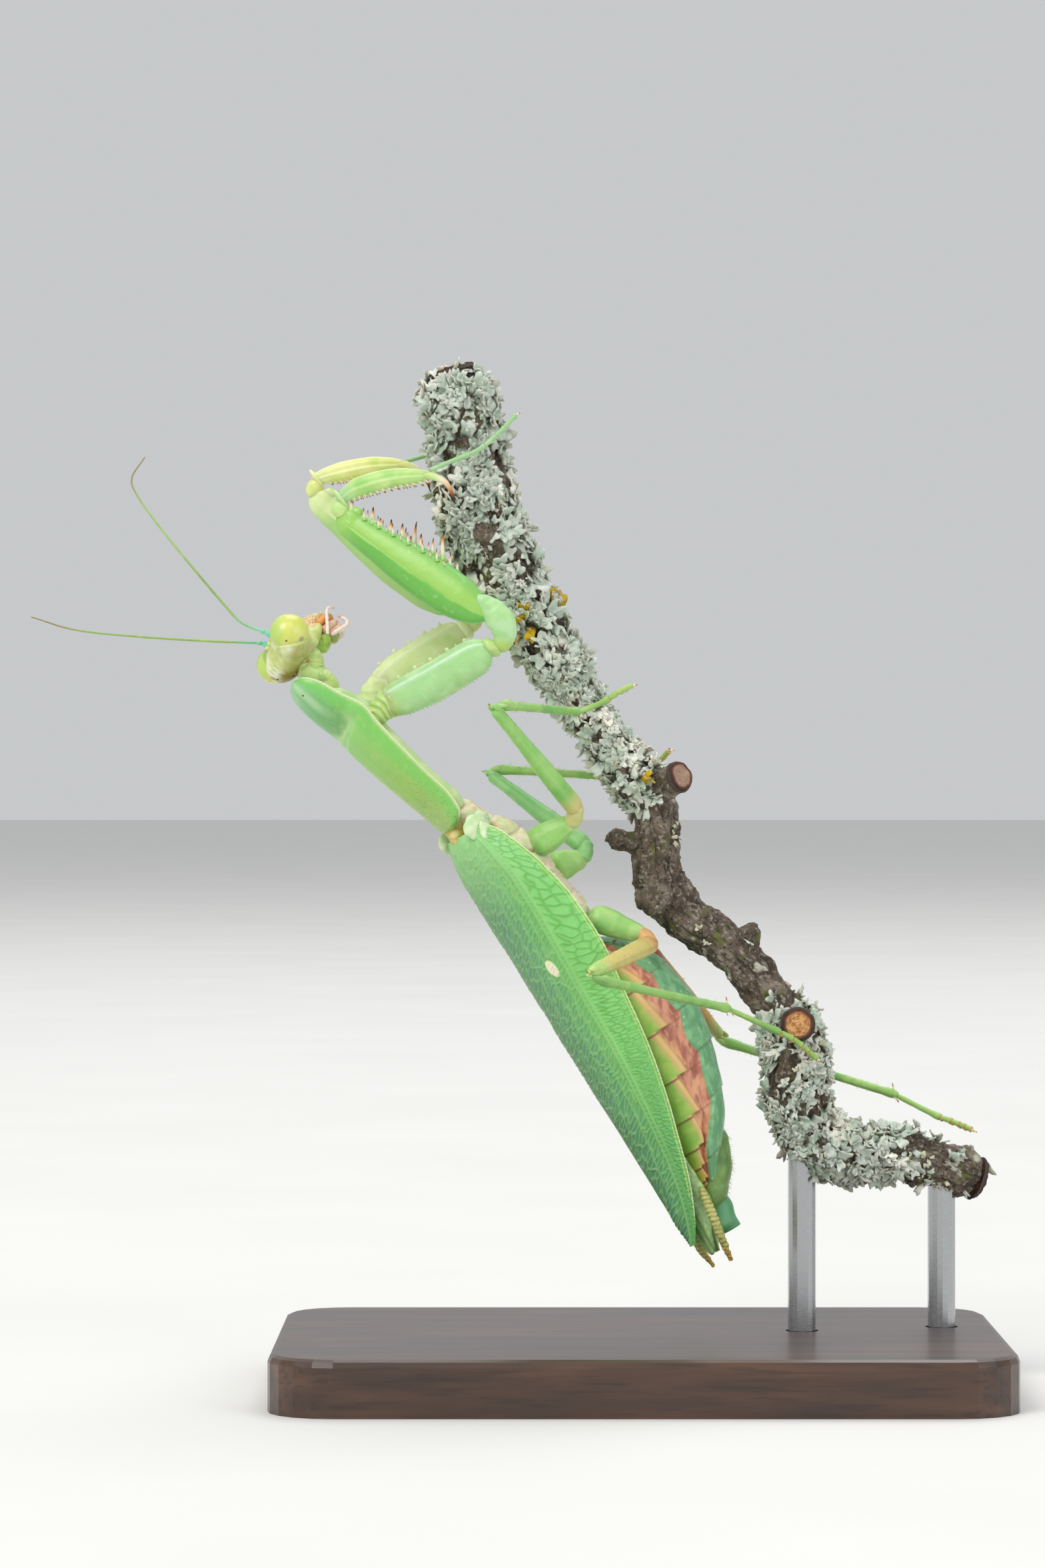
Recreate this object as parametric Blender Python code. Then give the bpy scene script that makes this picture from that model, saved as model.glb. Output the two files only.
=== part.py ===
"""Life-size display model of a praying mantis (giant Asian mantis, adult female).

The mantis climbs a cut length of lichen-covered branch, and the branch stands on two
rods over a flat base. It is a still model: every piece is fixed to the same stand.
Lengths in the tables are millimetres, and MM turns them into Blender's metres.
The origin is the middle of the base's underside. +Z is up, -X is where the head points,
and the mantis's right side looks towards -Y.
"""
import math

import bmesh
import bpy
import numpy as np
from mathutils import Vector

MM = 0.001
GAP = 0.3                    # clearance kept between neighbouring pieces

# Stand
BASE_SIZE = (78.0, 56.0, 6.0)
BASE_CORNER = 7.0
ROD_RADIUS = 1.5
ROD_FEET = ((17.6, 2.0), (33.0, 6.1))
ROD_TOPS = (27.2, 21.6)

# The two straight frames that carry the body. s runs backwards along the axis,
# u to the mantis's right, v to its back.
BODY_ORIGIN = Vector((-19.9, -2.0, 60.7))
BODY_ANGLE = 119.5           # direction of the head end, degrees up from +X
BODY_ROLL = 30.0             # the back leans this far towards -Y
PROTHORAX_ORIGIN = Vector((-20.6, -2.0, 61.8))
PROTHORAX_ANGLE = 136.8
PROTHORAX_ROLL = 35.0

# Wing sections: s, crease half-width, crease v, margin half-width, margin v, midline v
WING = (
    (1.5, 3.1, 0.1, 3.9, -1.1, 1.1),
    (2.8, 3.9, 0.1, 4.8, -1.8, 1.4),
    (4.8, 4.6, 0.0, 5.5, -2.5, 1.5),
    (8.2, 5.1, -0.4, 6.3, -3.5, 1.5),
    (13.0, 5.0, -0.7, 6.6, -4.6, 1.3),
    (18.4, 4.8, -0.8, 6.7, -5.0, 1.2),
    (24.0, 4.5, -1.0, 6.4, -4.6, 1.0),
    (30.0, 4.3, -1.2, 6.0, -4.2, 0.8),
    (36.0, 3.7, -1.2, 5.2, -3.5, 0.6),
    (41.0, 3.0, -1.2, 4.2, -2.7, 0.4),
    (45.3, 2.3, -1.0, 3.1, -2.0, 0.4),
    (48.6, 1.5, -0.6, 2.0, -1.2, 0.4),
    (50.8, 0.8, -0.2, 1.1, -0.5, 0.3),
    (51.9, 0.4, 0.1, 0.55, -0.05, 0.25),
)
WING_THICKNESS = 0.5

# Abdomen sections: s, top v, bottom v, half-width
ABDOMEN = (
    (17.9, -4.6, -7.9, 2.2),
    (18.8, -3.6, -9.2, 3.4),
    (21.0, -2.8, -11.6, 4.6),
    (25.0, -2.6, -13.6, 5.7),
    (29.5, -2.7, -14.3, 6.0),
    (33.5, -2.9, -13.7, 5.7),
    (37.5, -3.1, -12.3, 5.0),
    (41.0, -3.3, -10.2, 4.1),
    (44.0, -3.5, -7.8, 3.1),
    (46.5, -3.7, -6.5, 2.1),
    (48.2, -4.1, -5.8, 1.2),
)

# Pronotum sections: s, half-width, margin v, dome height
PRONOTUM = (
    (-21.8, 0.7, 1.25, 0.3),
    (-21.2, 1.7, 1.1, 0.8),
    (-19.6, 2.7, 0.7, 1.5),
    (-17.2, 3.2, 0.3, 1.8),
    (-14.2, 3.75, -0.3, 1.9),
    (-12.4, 3.45, -0.2, 2.1),
    (-9.0, 3.25, -0.1, 2.1),
    (-5.0, 3.0, -0.1, 1.9),
    (-2.0, 2.9, -0.2, 1.8),
    (0.4, 2.5, 0.1, 1.6),
    (1.7, 1.3, 0.9, 0.9),
)

# Head frame: middle between the eyes, towards the left eye, towards the crown
HEAD_CENTRE = Vector((-38.3, -1.6, 79.4))
HEAD_LEFT = Vector((-0.301, 0.709, -0.638)).normalized()
HEAD_CROWN = Vector((-0.682, -0.627, -0.376)).normalized()
EYE_OFFSET = 2.7
EYE_FORWARD = -0.1
EYE_SIZE = (2.0, 1.87, 2.15)  # half-sizes: forwards, sideways, towards the crown

# Branch: x, y, z, radius
BRANCH = (
    (-20.4, 4.4, 110.0, 3.2),
    (-20.0, 4.4, 108.6, 3.7),
    (-19.2, 4.4, 104.5, 3.9),
    (-18.3, 4.3, 99.8, 3.7),
    (-17.6, 4.1, 95.8, 4.5),
    (-16.4, 4.0, 91.6, 4.1),
    (-14.6, 3.8, 88.0, 3.7),
    (-12.6, 3.6, 84.2, 3.2),
    (-10.3, 3.5, 80.6, 2.9),
    (-7.8, 3.3, 76.3, 2.4),
    (-5.1, 3.2, 72.0, 2.1),
    (-2.7, 3.2, 68.4, 2.4),
    (-0.1, 3.2, 65.3, 2.9),
    (1.7, 3.1, 62.2, 2.7),
    (1.9, 2.9, 58.3, 2.9),
    (2.3, 2.8, 54.5, 3.0),
    (4.8, 2.6, 50.7, 2.8),
    (8.7, 2.2, 47.9, 2.7),
    (11.9, 1.9, 45.0, 2.5),
    (14.5, 1.6, 41.6, 2.6),
    (16.6, 1.5, 37.5, 3.2),
    (17.1, 1.6, 33.1, 3.4),
    (17.5, 1.9, 29.2, 3.2),
    (19.6, 2.4, 26.0, 3.0),
    (23.9, 3.3, 25.1, 3.0),
    (28.3, 4.6, 24.9, 2.8),
    (32.6, 6.1, 23.6, 2.8),
    (36.2, 7.3, 22.2, 3.1),
    (37.2, 7.6, 21.8, 2.9),
)
# Side stubs of the branch: foot, tip, radius
STUBS = (
    ((1.0, 2.9, 64.2), (5.9, 1.2, 66.6), 1.5),
    ((0.0, 2.9, 58.6), (-3.6, 1.4, 59.2), 1.1),
    ((2.2, 1.5, 53.0), (0.7, -0.6, 52.4), 1.6),
    ((10.8, 2.0, 46.4), (13.2, 1.4, 51.4), 0.9),
    ((16.7, 1.2, 39.0), (16.9, -3.4, 39.3), 2.0),
    ((29.2, 4.9, 24.6), (30.2, 3.6, 21.2), 1.3),
)

# Legs: the joints of each leg, from the body to the claws
LEGS = {
    "fore_r": {
        "coxa": ((-27.3, -3.2, 73.4), (-24.6, -4.2, 74.6), (-21.6, -4.9, 76.1), (-16.2, -6.3, 79.3)),
        "trochanter": ((-14.7, -6.4, 79.5), (-14.2, -6.4, 82.0), (-15.2, -6.2, 84.3)),
        "femur": ((-16.5, -6.3, 82.9), (-32.2, 0.0, 93.7)),
        "tibia": ((-31.9, -0.5, 95.8), (-30.2, -1.1, 96.8), (-26.4, -1.5, 97.8), (-22.4, -2.0, 98.1)),
        "claw": ((-22.2, -2.0, 98.0), (-20.9, -2.0, 97.4), (-20.2, -1.8, 96.3), (-19.8, -1.6, 95.0)),
        "tarsus": ((-22.0, -1.9, 98.9), (-20.0, -1.9, 99.7), (-17.4, -1.8, 100.8),
                   (-15.1, -1.2, 102.7), (-13.3, 0.2, 104.7)),
    },
    "fore_l": {
        "coxa": ((-28.6, 1.9, 74.6), (-26.6, 3.4, 76.6), (-24.1, 5.0, 78.4), (-19.2, 8.0, 81.6)),
        "trochanter": ((-18.2, 8.6, 82.0), (-17.8, 8.7, 83.5), (-18.4, 8.8, 85.2)),
        "femur": ((-19.9, 8.8, 84.1), (-35.5, 9.0, 96.5)),
        "tibia": ((-34.8, 8.7, 98.4), (-32.9, 8.3, 98.9), (-29.2, 7.6, 99.6), (-25.3, 7.0, 99.8)),
        "claw": ((-25.1, 7.0, 99.7), (-23.6, 7.0, 99.0), (-22.9, 7.0, 97.8), (-22.5, 7.0, 96.6)),
        "tarsus": ((-24.9, 7.6, 100.3), (-23.3, 8.4, 100.8), (-21.8, 8.9, 101.6),
                   (-20.6, 9.2, 102.8), (-19.6, 9.2, 104.4)),
    },
    "mid_r": {
        "coxa": ((-10.9, -2.4, 58.7), (-7.3, -3.4, 60.8)),
        "femur": ((-6.8, -4.0, 62.3), (-15.4, -12.9, 72.8)),
        "tibia": ((-14.6, -12.2, 73.3), (-6.6, -2.8, 72.7)),
        "tarsus": ((-6.1, -2.2, 72.9), (-3.9, -1.6, 73.8), (-2.4, -0.8, 74.8), (-0.8, 0.6, 75.6)),
    },
    "mid_l": {
        "coxa": ((-8.5, 2.7, 56.1), (-6.0, 3.5, 57.0)),
        "femur": ((-5.7, 4.0, 58.2), (-15.9, 10.4, 65.9)),
        "tibia": ((-15.1, 10.6, 66.6), (-2.6, 8.2, 65.8)),
        "tarsus": ((-2.1, 8.1, 66.0), (0.2, 7.9, 66.3), (2.1, 7.6, 67.3), (3.4, 6.8, 68.6)),
    },
    "hind_r": {
        "coxa": ((-4.7, -2.2, 50.6), (0.2, -2.1, 48.8)),
        "femur": ((1.2, -2.8, 47.9), (-5.3, -20.3, 45.5)),
        "tibia": ((-4.5, -19.9, 44.6), (9.4, -6.7, 41.1)),
        "tarsus": ((9.9, -6.2, 40.8), (14.0, -4.8, 38.9), (16.6, -3.9, 37.6), (18.9, -2.6, 35.6)),
    },
    "hind_l": {
        "coxa": ((-2.1, 4.4, 48.8), (0.8, 5.6, 47.9)),
        "femur": ((1.0, 6.2, 47.0), (9.2, 18.4, 37.2)),
        "tibia": ((9.7, 18.4, 36.4), (28.8, 16.1, 30.6)),
        "tarsus": ((29.3, 15.9, 30.3), (32.6, 12.8, 28.7), (34.8, 10.7, 27.9), (36.6, 9.2, 27.2)),
    },
}


def clear_scene():
    for obj in list(bpy.data.objects):
        bpy.data.objects.remove(obj, do_unlink=True)


def material(name, colour, roughness=0.5, metallic=0.0):
    made = bpy.data.materials.new(name)
    made.use_nodes = True
    made.diffuse_color = (*colour, 1.0)
    shader = made.node_tree.nodes["Principled BSDF"]
    shader.inputs["Base Color"].default_value = (*colour, 1.0)
    shader.inputs["Roughness"].default_value = roughness
    shader.inputs["Metallic"].default_value = metallic
    return made


def add_object(name, bm, surface, helper=False):
    """Makes an object of the bmesh, in millimetres under the model's empty."""
    bmesh.ops.recalc_face_normals(bm, faces=bm.faces)
    mesh = bpy.data.meshes.new(name)
    bm.to_mesh(mesh)
    bm.free()
    obj = bpy.data.objects.new(name, mesh)
    bpy.context.scene.collection.objects.link(obj)
    obj.parent = bpy.data.objects["mantis_model"]
    if helper:
        obj.hide_render = True
        obj.display_type = "WIRE"
        return obj
    obj.data.materials.append(surface)
    obj.data.shade_smooth()
    obj.data.set_sharp_from_angle(angle=math.radians(50))
    return obj


def boolean(obj, helper, operation):
    step = obj.modifiers.new(operation.title(), "BOOLEAN")
    step.operation = operation
    step.solver = "EXACT"
    step.object = helper


def skin_rings(bm, rings, ladder=False):
    """Joins rings of points into one closed body. Each end is closed round a point in its
    middle or, for the ring round a thin sheet, by a ladder between its two faces."""
    made = [[bm.verts.new(point) for point in ring] for ring in rings]
    count = len(made[0])
    for near, far in zip(made, made[1:]):
        for i in range(count):
            j = (i + 1) % count
            bm.faces.new((near[i], near[j], far[j], far[i]))
    for ring in (made[0], made[-1]):
        if ladder:
            for i in range(count // 2 - 1):
                bm.faces.new((ring[i], ring[i + 1], ring[count - 2 - i], ring[count - 1 - i]))
            continue
        middle = sum((vert.co for vert in ring), Vector()) / count
        pole = bm.verts.new(middle)
        for i in range(count):
            bm.faces.new((ring[i], ring[(i + 1) % count], pole))


def smooth_path(points, count):
    """Catmull-Rom curve through points (vectors of any length), as count points."""
    points = np.array([tuple(p) for p in points], float)
    if len(points) == 2:
        t = np.linspace(0, 1, count)[:, None]
        return points[0] * (1 - t) + points[1] * t
    padded = np.vstack([2 * points[0] - points[1], points, 2 * points[-1] - points[-2]])
    out = []
    for t in np.linspace(0, len(points) - 1, count):
        i = min(int(t), len(points) - 2)
        f = t - i
        a, b, c, d = padded[i:i + 4]
        out.append(0.5 * (2 * b + (c - a) * f + (2 * a - 5 * b + 4 * c - d) * f * f
                          + (3 * b - a - 3 * c + d) * f ** 3))
    return np.array(out)


def tube_rings(path, sizes, sides, broad=None):
    """Rings of a tube along path. sizes holds (half-height, half-width) for each point,
    and broad is the direction that the half-height is measured along."""
    path = [Vector(p[:3]) for p in path]
    broad = Vector(broad) if broad is not None else None
    rings = []
    for i, point in enumerate(path):
        ahead = (path[min(i + 1, len(path) - 1)] - path[max(i - 1, 0)]).normalized()
        up = broad or Vector((0.0, 1.0, 0.0))
        side = ahead.cross(up).normalized()
        if broad is None and i:
            side = (side_before - ahead * side_before.dot(ahead)).normalized()
        side_before = side
        up = side.cross(ahead)
        high, wide = sizes[i] if isinstance(sizes[i], (tuple, list)) else (sizes[i], sizes[i])
        rings.append([point + up * (high * math.cos(2 * math.pi * k / sides))
                      + side * (wide * math.sin(2 * math.pi * k / sides)) for k in range(sides)])
    return rings


def point_at(points, share):
    """The point of the smooth curve through points that lies this share of its length along."""
    path = smooth_path(points, 25)
    lengths = np.concatenate([[0], np.cumsum(np.linalg.norm(np.diff(path, axis=0), axis=1))])
    lengths /= lengths[-1]
    return Vector([float(np.interp(share, lengths, path[:, axis])) for axis in range(3)])


def limb_rings(points, profile, sides, broad=None, flat=1.0):
    """A limb along points. profile holds (share of length, half-height), flat the width's share."""
    at = [point_at(points, share) for share, _ in profile]
    return tube_rings(at, [(r, r * flat) for _, r in profile], sides, broad)


def add_limb(name, points, profile, surface, sides=8, broad=None, flat=1.0):
    bm = bmesh.new()
    skin_rings(bm, limb_rings(points, profile, sides, broad, flat))
    return add_object(name, bm, surface)


def add_cones(bm, cones, sides=4):
    """Thorns, each given by its foot, its tip and its radius at the foot."""
    for foot, tip, radius in cones:
        foot = Vector(foot)
        tip = Vector(tip)
        ahead = (tip - foot).normalized()
        side = ahead.orthogonal().normalized()
        up = side.cross(ahead)
        ring = [bm.verts.new(foot + (side * math.cos(a) + up * math.sin(a)) * radius)
                for a in (2 * math.pi * k / sides for k in range(sides))]
        point = bm.verts.new(tip)
        for i in range(sides):
            bm.faces.new((ring[i], ring[(i + 1) % sides], point))
        bm.faces.new(ring)


def thorned(obj, cones, sides=4):
    """Grows the thorns out of the piece, as one body with it."""
    bm = bmesh.new()
    add_cones(bm, cones, sides)
    boolean(obj, add_object(obj.name + "_thorns", bm, None, helper=True), "UNION")


class Frame:
    """A straight frame of the body, with s backwards, u to the right and v to the back."""

    def __init__(self, origin, angle, roll):
        angle = math.radians(angle)
        roll = math.radians(roll)
        level = Vector((-math.sin(angle), 0.0, math.cos(angle)))
        self.origin = origin
        self.ahead = Vector((math.cos(angle), 0.0, math.sin(angle)))
        self.back = level * math.cos(roll) + Vector((0.0, -1.0, 0.0)) * math.sin(roll)
        self.right = self.ahead.cross(self.back)

    def at(self, s, u, v):
        return self.origin - self.ahead * s + self.right * u + self.back * v


def oval(frame, s, top, bottom, half, sides=12):
    middle = (top + bottom) / 2
    high = (top - bottom) / 2
    return [frame.at(s, half * math.sin(a), middle + high * math.cos(a))
            for a in (2 * math.pi * k / sides for k in range(sides))]


def wing_line(row, side, drop):
    """Points across one fore wing, from its inner edge over the crease to its outer margin."""
    _, crease_u, crease_v, margin_u, margin_v, mid_v = row
    inner = -0.72 * crease_u * min(1.0, crease_u / 2.5)
    line = []
    for share in (0.0, 0.3, 0.6, 0.85):
        u = inner + (crease_u - inner) * share
        rise = 1 - (u / crease_u) ** 2
        line.append((u, crease_v + (mid_v - crease_v) * rise - drop))
    wide = min(1.0, max(0.0, (crease_u - 1.5) / 2.5))
    line.append((crease_u, crease_v - drop * (1 - 0.5 * wide)))
    bulge = 0.25 * (margin_u - crease_u)
    drop *= 1 - wide
    line.append(((crease_u + margin_u) / 2 + bulge, (crease_v + margin_v) / 2 - drop))
    line.append((margin_u, margin_v - drop))
    return [(side * u, v) for u, v in line]


def sheet_rings(frame, rows, thickness):
    """Rings round a thin curved sheet. rows holds (s, line of (u, v)), thickness is taken
    inwards, towards the body's axis below the wings, and is less where the sheet is narrow."""
    rings = []
    for s, line in rows:
        points = [np.array(p) for p in line]
        span = float(np.linalg.norm(points[-1] - points[0]))
        depth = thickness * min(1.0, max(0.5, span / 4))
        inner = []
        for i, point in enumerate(points):
            run = points[min(i + 1, len(points) - 1)] - points[max(i - 1, 0)]
            normal = np.array((-run[1], run[0]))
            normal /= max(np.linalg.norm(normal), 1e-9)
            if normal @ (np.array((0.0, -6.0)) - point) < 0:
                normal = -normal
            inner.append(point + normal * depth)
        outline = [*points, *reversed(inner)]
        rings.append([frame.at(s, u, v) for u, v in outline])
    return rings


def build_body(colours):
    body = Frame(BODY_ORIGIN, BODY_ANGLE, BODY_ROLL)
    pro = Frame(PROTHORAX_ORIGIN, PROTHORAX_ANGLE, PROTHORAX_ROLL)

    bm = bmesh.new()
    skin_rings(bm, [oval(body, *row) for row in ABDOMEN])
    add_object("abdomen", bm, colours["abdomen"])

    thorax = ((1.2, -1.3, -4.6, 1.6), (2.0, -1.0, -5.4, 2.7), (4.5, -1.0, -6.6, 3.5),
              (7.5, -1.8, -7.3, 3.8), (10.0, -2.1, -7.7, 3.9), (13.5, -2.4, -8.4, 3.9),
              (16.4, -3.2, -8.6, 3.3), (17.4, -4.2, -8.2, 2.3))
    bm = bmesh.new()
    skin_rings(bm, [oval(body, *row, sides=10) for row in thorax])
    add_object("pterothorax", bm, colours["thorax"])

    bm = bmesh.new()
    rings = []
    for s, half, margin, dome in PRONOTUM:
        ring = [pro.at(s, half * math.cos(a), margin + dome * math.sin(a))
                for a in (math.pi * k / 8 for k in range(9))]
        ring += [pro.at(s, -half * 0.6, margin - 0.05 + dome * 0.2),
                 pro.at(s, 0.0, margin + dome * 0.3),
                 pro.at(s, half * 0.6, margin - 0.05 + dome * 0.2)]
        rings.append(ring)
    skin_rings(bm, rings)
    add_object("pronotum", bm, colours["pronotum"])

    lower = ((-18.6, 0.0, -0.9, 1.0), (-17.4, 0.0, -1.9, 1.9), (-14.2, -0.3, -2.7, 2.5),
             (-11.0, -0.2, -2.4, 2.0), (-5.0, -0.2, -2.2, 1.8), (-1.0, -0.2, -2.4, 1.9),
             (0.6, -0.5, -2.2, 1.2))
    bm = bmesh.new()
    skin_rings(bm, [oval(pro, *row, sides=8) for row in lower])
    add_object("prosternum", bm, colours["underside"])

    plate = ((41.7, -10.1, -10.7, 1.2), (44.2, -8.2, -9.7, 2.0), (46.8, -7.0, -8.4, 1.6),
             (48.4, -6.4, -7.2, 0.8))
    bm = bmesh.new()
    skin_rings(bm, [oval(body, *row, sides=8) for row in plate])
    add_object("subgenital_plate", bm, colours["abdomen"])

    tail = ((48.7, -4.6, -6.2, 0.8), (50.4, -4.6, -6.6, 1.2), (52.0, -5.0, -6.4, 0.9),
            (52.8, -5.4, -6.1, 0.4))
    bm = bmesh.new()
    skin_rings(bm, [oval(body, *row, sides=6) for row in tail])
    add_object("ovipositor", bm, colours["underside"])

    for side, name in ((1, "r"), (-1, "l")):
        path = [body.at(47.2, side * 2.2, -3.6), body.at(50.0, side * 2.6, -3.0),
                body.at(53.0, side * 2.5, -2.6), body.at(55.6, side * 2.0, -2.4)]
        add_limb("cercus_" + name, path, ((0, 0.3), (0.15, 0.42), (0.5, 0.5), (0.85, 0.36), (1, 0.25)),
                 colours["abdomen"], 6)

    for side, name, drop in ((1, "r", 0.0), (-1, "l", 0.85)):
        rows = [(row[0] - drop * row[0] / 50, wing_line(row, side, drop)) for row in WING]
        bm = bmesh.new()
        skin_rings(bm, sheet_rings(body, rows, WING_THICKNESS), ladder=True)
        add_object("tegmen_" + name, bm, colours["wing"])

    for side, name, level in ((1, "r", -1.75), (-1, "l", -2.55)):
        rows = []
        for s, half in ((9.0, 2.6), (16.0, 3.0), (26.0, 2.7), (36.0, 2.2), (44.0, 1.5), (50.0, 0.8),
                        (53.6, 0.5)):
            crease_u, crease_v, mid_v = (float(np.interp(s, [row[0] for row in WING],
                                                         [row[column] for row in WING]))
                                         for column in (1, 2, 5))
            curve = (mid_v - crease_v) / max(crease_u, 1.5) ** 2
            rows.append((s, [(side * u * half, level + mid_v - curve * (u * half) ** 2)
                             for u in (-0.7, 0.0, 0.5, 1.0)]))
        bm = bmesh.new()
        skin_rings(bm, sheet_rings(body, rows, 0.45), ladder=True)
        add_object("hindwing_" + name, bm, colours["hindwing"])


def build_head(colours):
    crown = (HEAD_CROWN - HEAD_LEFT * HEAD_CROWN.dot(HEAD_LEFT)).normalized()
    front = HEAD_LEFT.cross(crown)

    def at(forward, left, up):
        return HEAD_CENTRE + front * forward + HEAD_LEFT * left + crown * up

    def ring_at(up, half, ahead, behind, tilt, count):
        """A ring round the head: half-width, reach forwards and back, and how far it rises behind."""
        ring = []
        for k in range(count):
            a = 2 * math.pi * k / count
            ring.append(at((ahead + behind) / 2 + (ahead - behind) / 2 * math.cos(a), half * math.sin(a),
                           up + tilt * (1 - math.cos(a)) / 2))
        return ring

    rings = [ring_at(up, half, ahead, behind, 0.0, 14) for up, half, ahead, behind in (
        (1.85, 2.2, 0.1, -1.2), (1.4, 3.1, 0.7, -1.8), (0.6, 3.55, 1.45, -2.4), (-0.3, 3.6, 1.65, -2.5),
        (-1.2, 3.2, 1.6, -2.2), (-2.0, 2.5, 1.55, -1.85), (-3.0, 2.0, 1.7, -1.6), (-4.2, 1.75, 1.9, -1.1),
        (-5.0, 1.45, 1.95, -0.3), (-5.8, 1.1, 1.95, 0.4))]
    bm = bmesh.new()
    skin_rings(bm, rings)
    head = add_object("head", bm, colours["head"])

    for side, name in ((-1, "r"), (1, "l")):
        for grow, label in ((0.0, "eye_" + name), (0.3, "socket_" + name)):
            bm = bmesh.new()
            rows = []
            for i in range(1, 8):
                lift = math.pi * i / 8
                ring = []
                for k in range(12):
                    a = 2 * math.pi * k / 12
                    ring.append(at(EYE_FORWARD + (EYE_SIZE[0] + grow) * math.sin(lift) * math.cos(a),
                                   side * EYE_OFFSET + (EYE_SIZE[1] + grow) * math.cos(lift),
                                   (EYE_SIZE[2] + grow) * math.sin(lift) * math.sin(a)))
                rows.append(ring)
            skin_rings(bm, rows)
            helper = grow > 0
            obj = add_object(label, bm, colours["eye"], helper=helper)
            if helper:
                boolean(head, obj, "DIFFERENCE")

    bm = bmesh.new()
    skin_rings(bm, [ring_at(*row, 10) for row in ((-6.5, 0.9, 1.3, -0.9, 0.6), (-7.0, 1.0, 1.3, -1.2, 0.5),
                                                  (-7.6, 0.8, 1.1, -1.1, 0.3), (-8.2, 0.4, 0.6, -0.7, 0.0))])
    jaws = add_object("mouthparts", bm, colours["mouth"])
    for side, name in ((-1, "r"), (1, "l")):
        bm = bmesh.new()
        for path in (((-0.5, 0.6, -6.7), (-1.2, 1.5, -5.9), (0.0, 1.7, -6.3), (0.9, 1.6, -7.0),
                      (1.2, 1.5, -8.0)),
                     ((-0.7, 0.5, -7.0), (-1.35, 0.9, -7.9), (-0.9, 0.9, -8.6), (0.0, 0.8, -8.75))):
            skin_rings(bm, limb_rings([at(forward, side * left, up) for forward, left, up in path],
                                      ((0, 0.27), (0.5, 0.27), (1, 0.25)), 5))
        boolean(jaws, add_object("palps_" + name, bm, None, helper=True), "UNION")

    pro = Frame(PROTHORAX_ORIGIN, PROTHORAX_ANGLE, PROTHORAX_ROLL)
    path = [pro.at(-19.1, 0.0, -0.9), pro.at(-20.5, 0.0, -1.1), at(-3.1, 0.1, -2.4)]
    add_limb("neck", path, ((0, 1.2), (0.25, 1.6), (0.7, 1.4), (1, 0.9)), colours["neck"], 8)

    antennae = {
        "r": ((-40.0, -1.7, 81.2), (-42.7, -0.8, 82.3), (-44.5, -0.2, 84.1), (-48.1, 1.0, 88.3),
              (-51.9, 3.5, 92.9), (-54.6, 6.0, 96.6), (-55.1, 7.0, 98.4), (-53.9, 7.5, 100.4)),
        "l": ((-40.5, -0.6, 80.1), (-42.6, -1.6, 80.2), (-46.1, -2.8, 80.3), (-53.1, -4.3, 80.7),
              (-60.1, -5.4, 81.4), (-64.6, -6.0, 82.7)),
    }
    for name, path in antennae.items():
        profile = ((0, 0.3), (0.03, 0.4), (0.07, 0.3), (0.2, 0.27), (0.4, 0.26), (0.6, 0.26),
                   (0.75, 0.25), (0.9, 0.25), (0.97, 0.25), (1, 0.25))
        add_limb("antenna_" + name, path, profile, colours["feeler"], 5)


def femur_thorns(path, near, outwards, side):
    """The two rows of thorns on the lower edge of a grasping femur, and the long middle ones."""
    start, end = Vector(path[0]), Vector(path[-1])
    along = end - start
    cones = []
    for share, length, lean in ((0.20, 1.1, -0.3), (0.27, 1.3, 0.3), (0.33, 2.3, -0.1), (0.40, 1.3, 0.3),
                                (0.48, 1.7, -0.2), (0.56, 1.3, 0.3), (0.63, 1.7, -0.2), (0.72, 1.3, 0.3),
                                (0.80, 1.5, -0.2), (0.88, 1.2, 0.3)):
        half = float(np.interp(share, [p[0] for p in near], [p[1] for p in near]))
        foot = start + along * share + outwards * (half * 0.8) + side * lean
        cones.append((foot, foot + outwards * (half * 0.2 + length) + along * (0.03), 0.3))
    return cones


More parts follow.
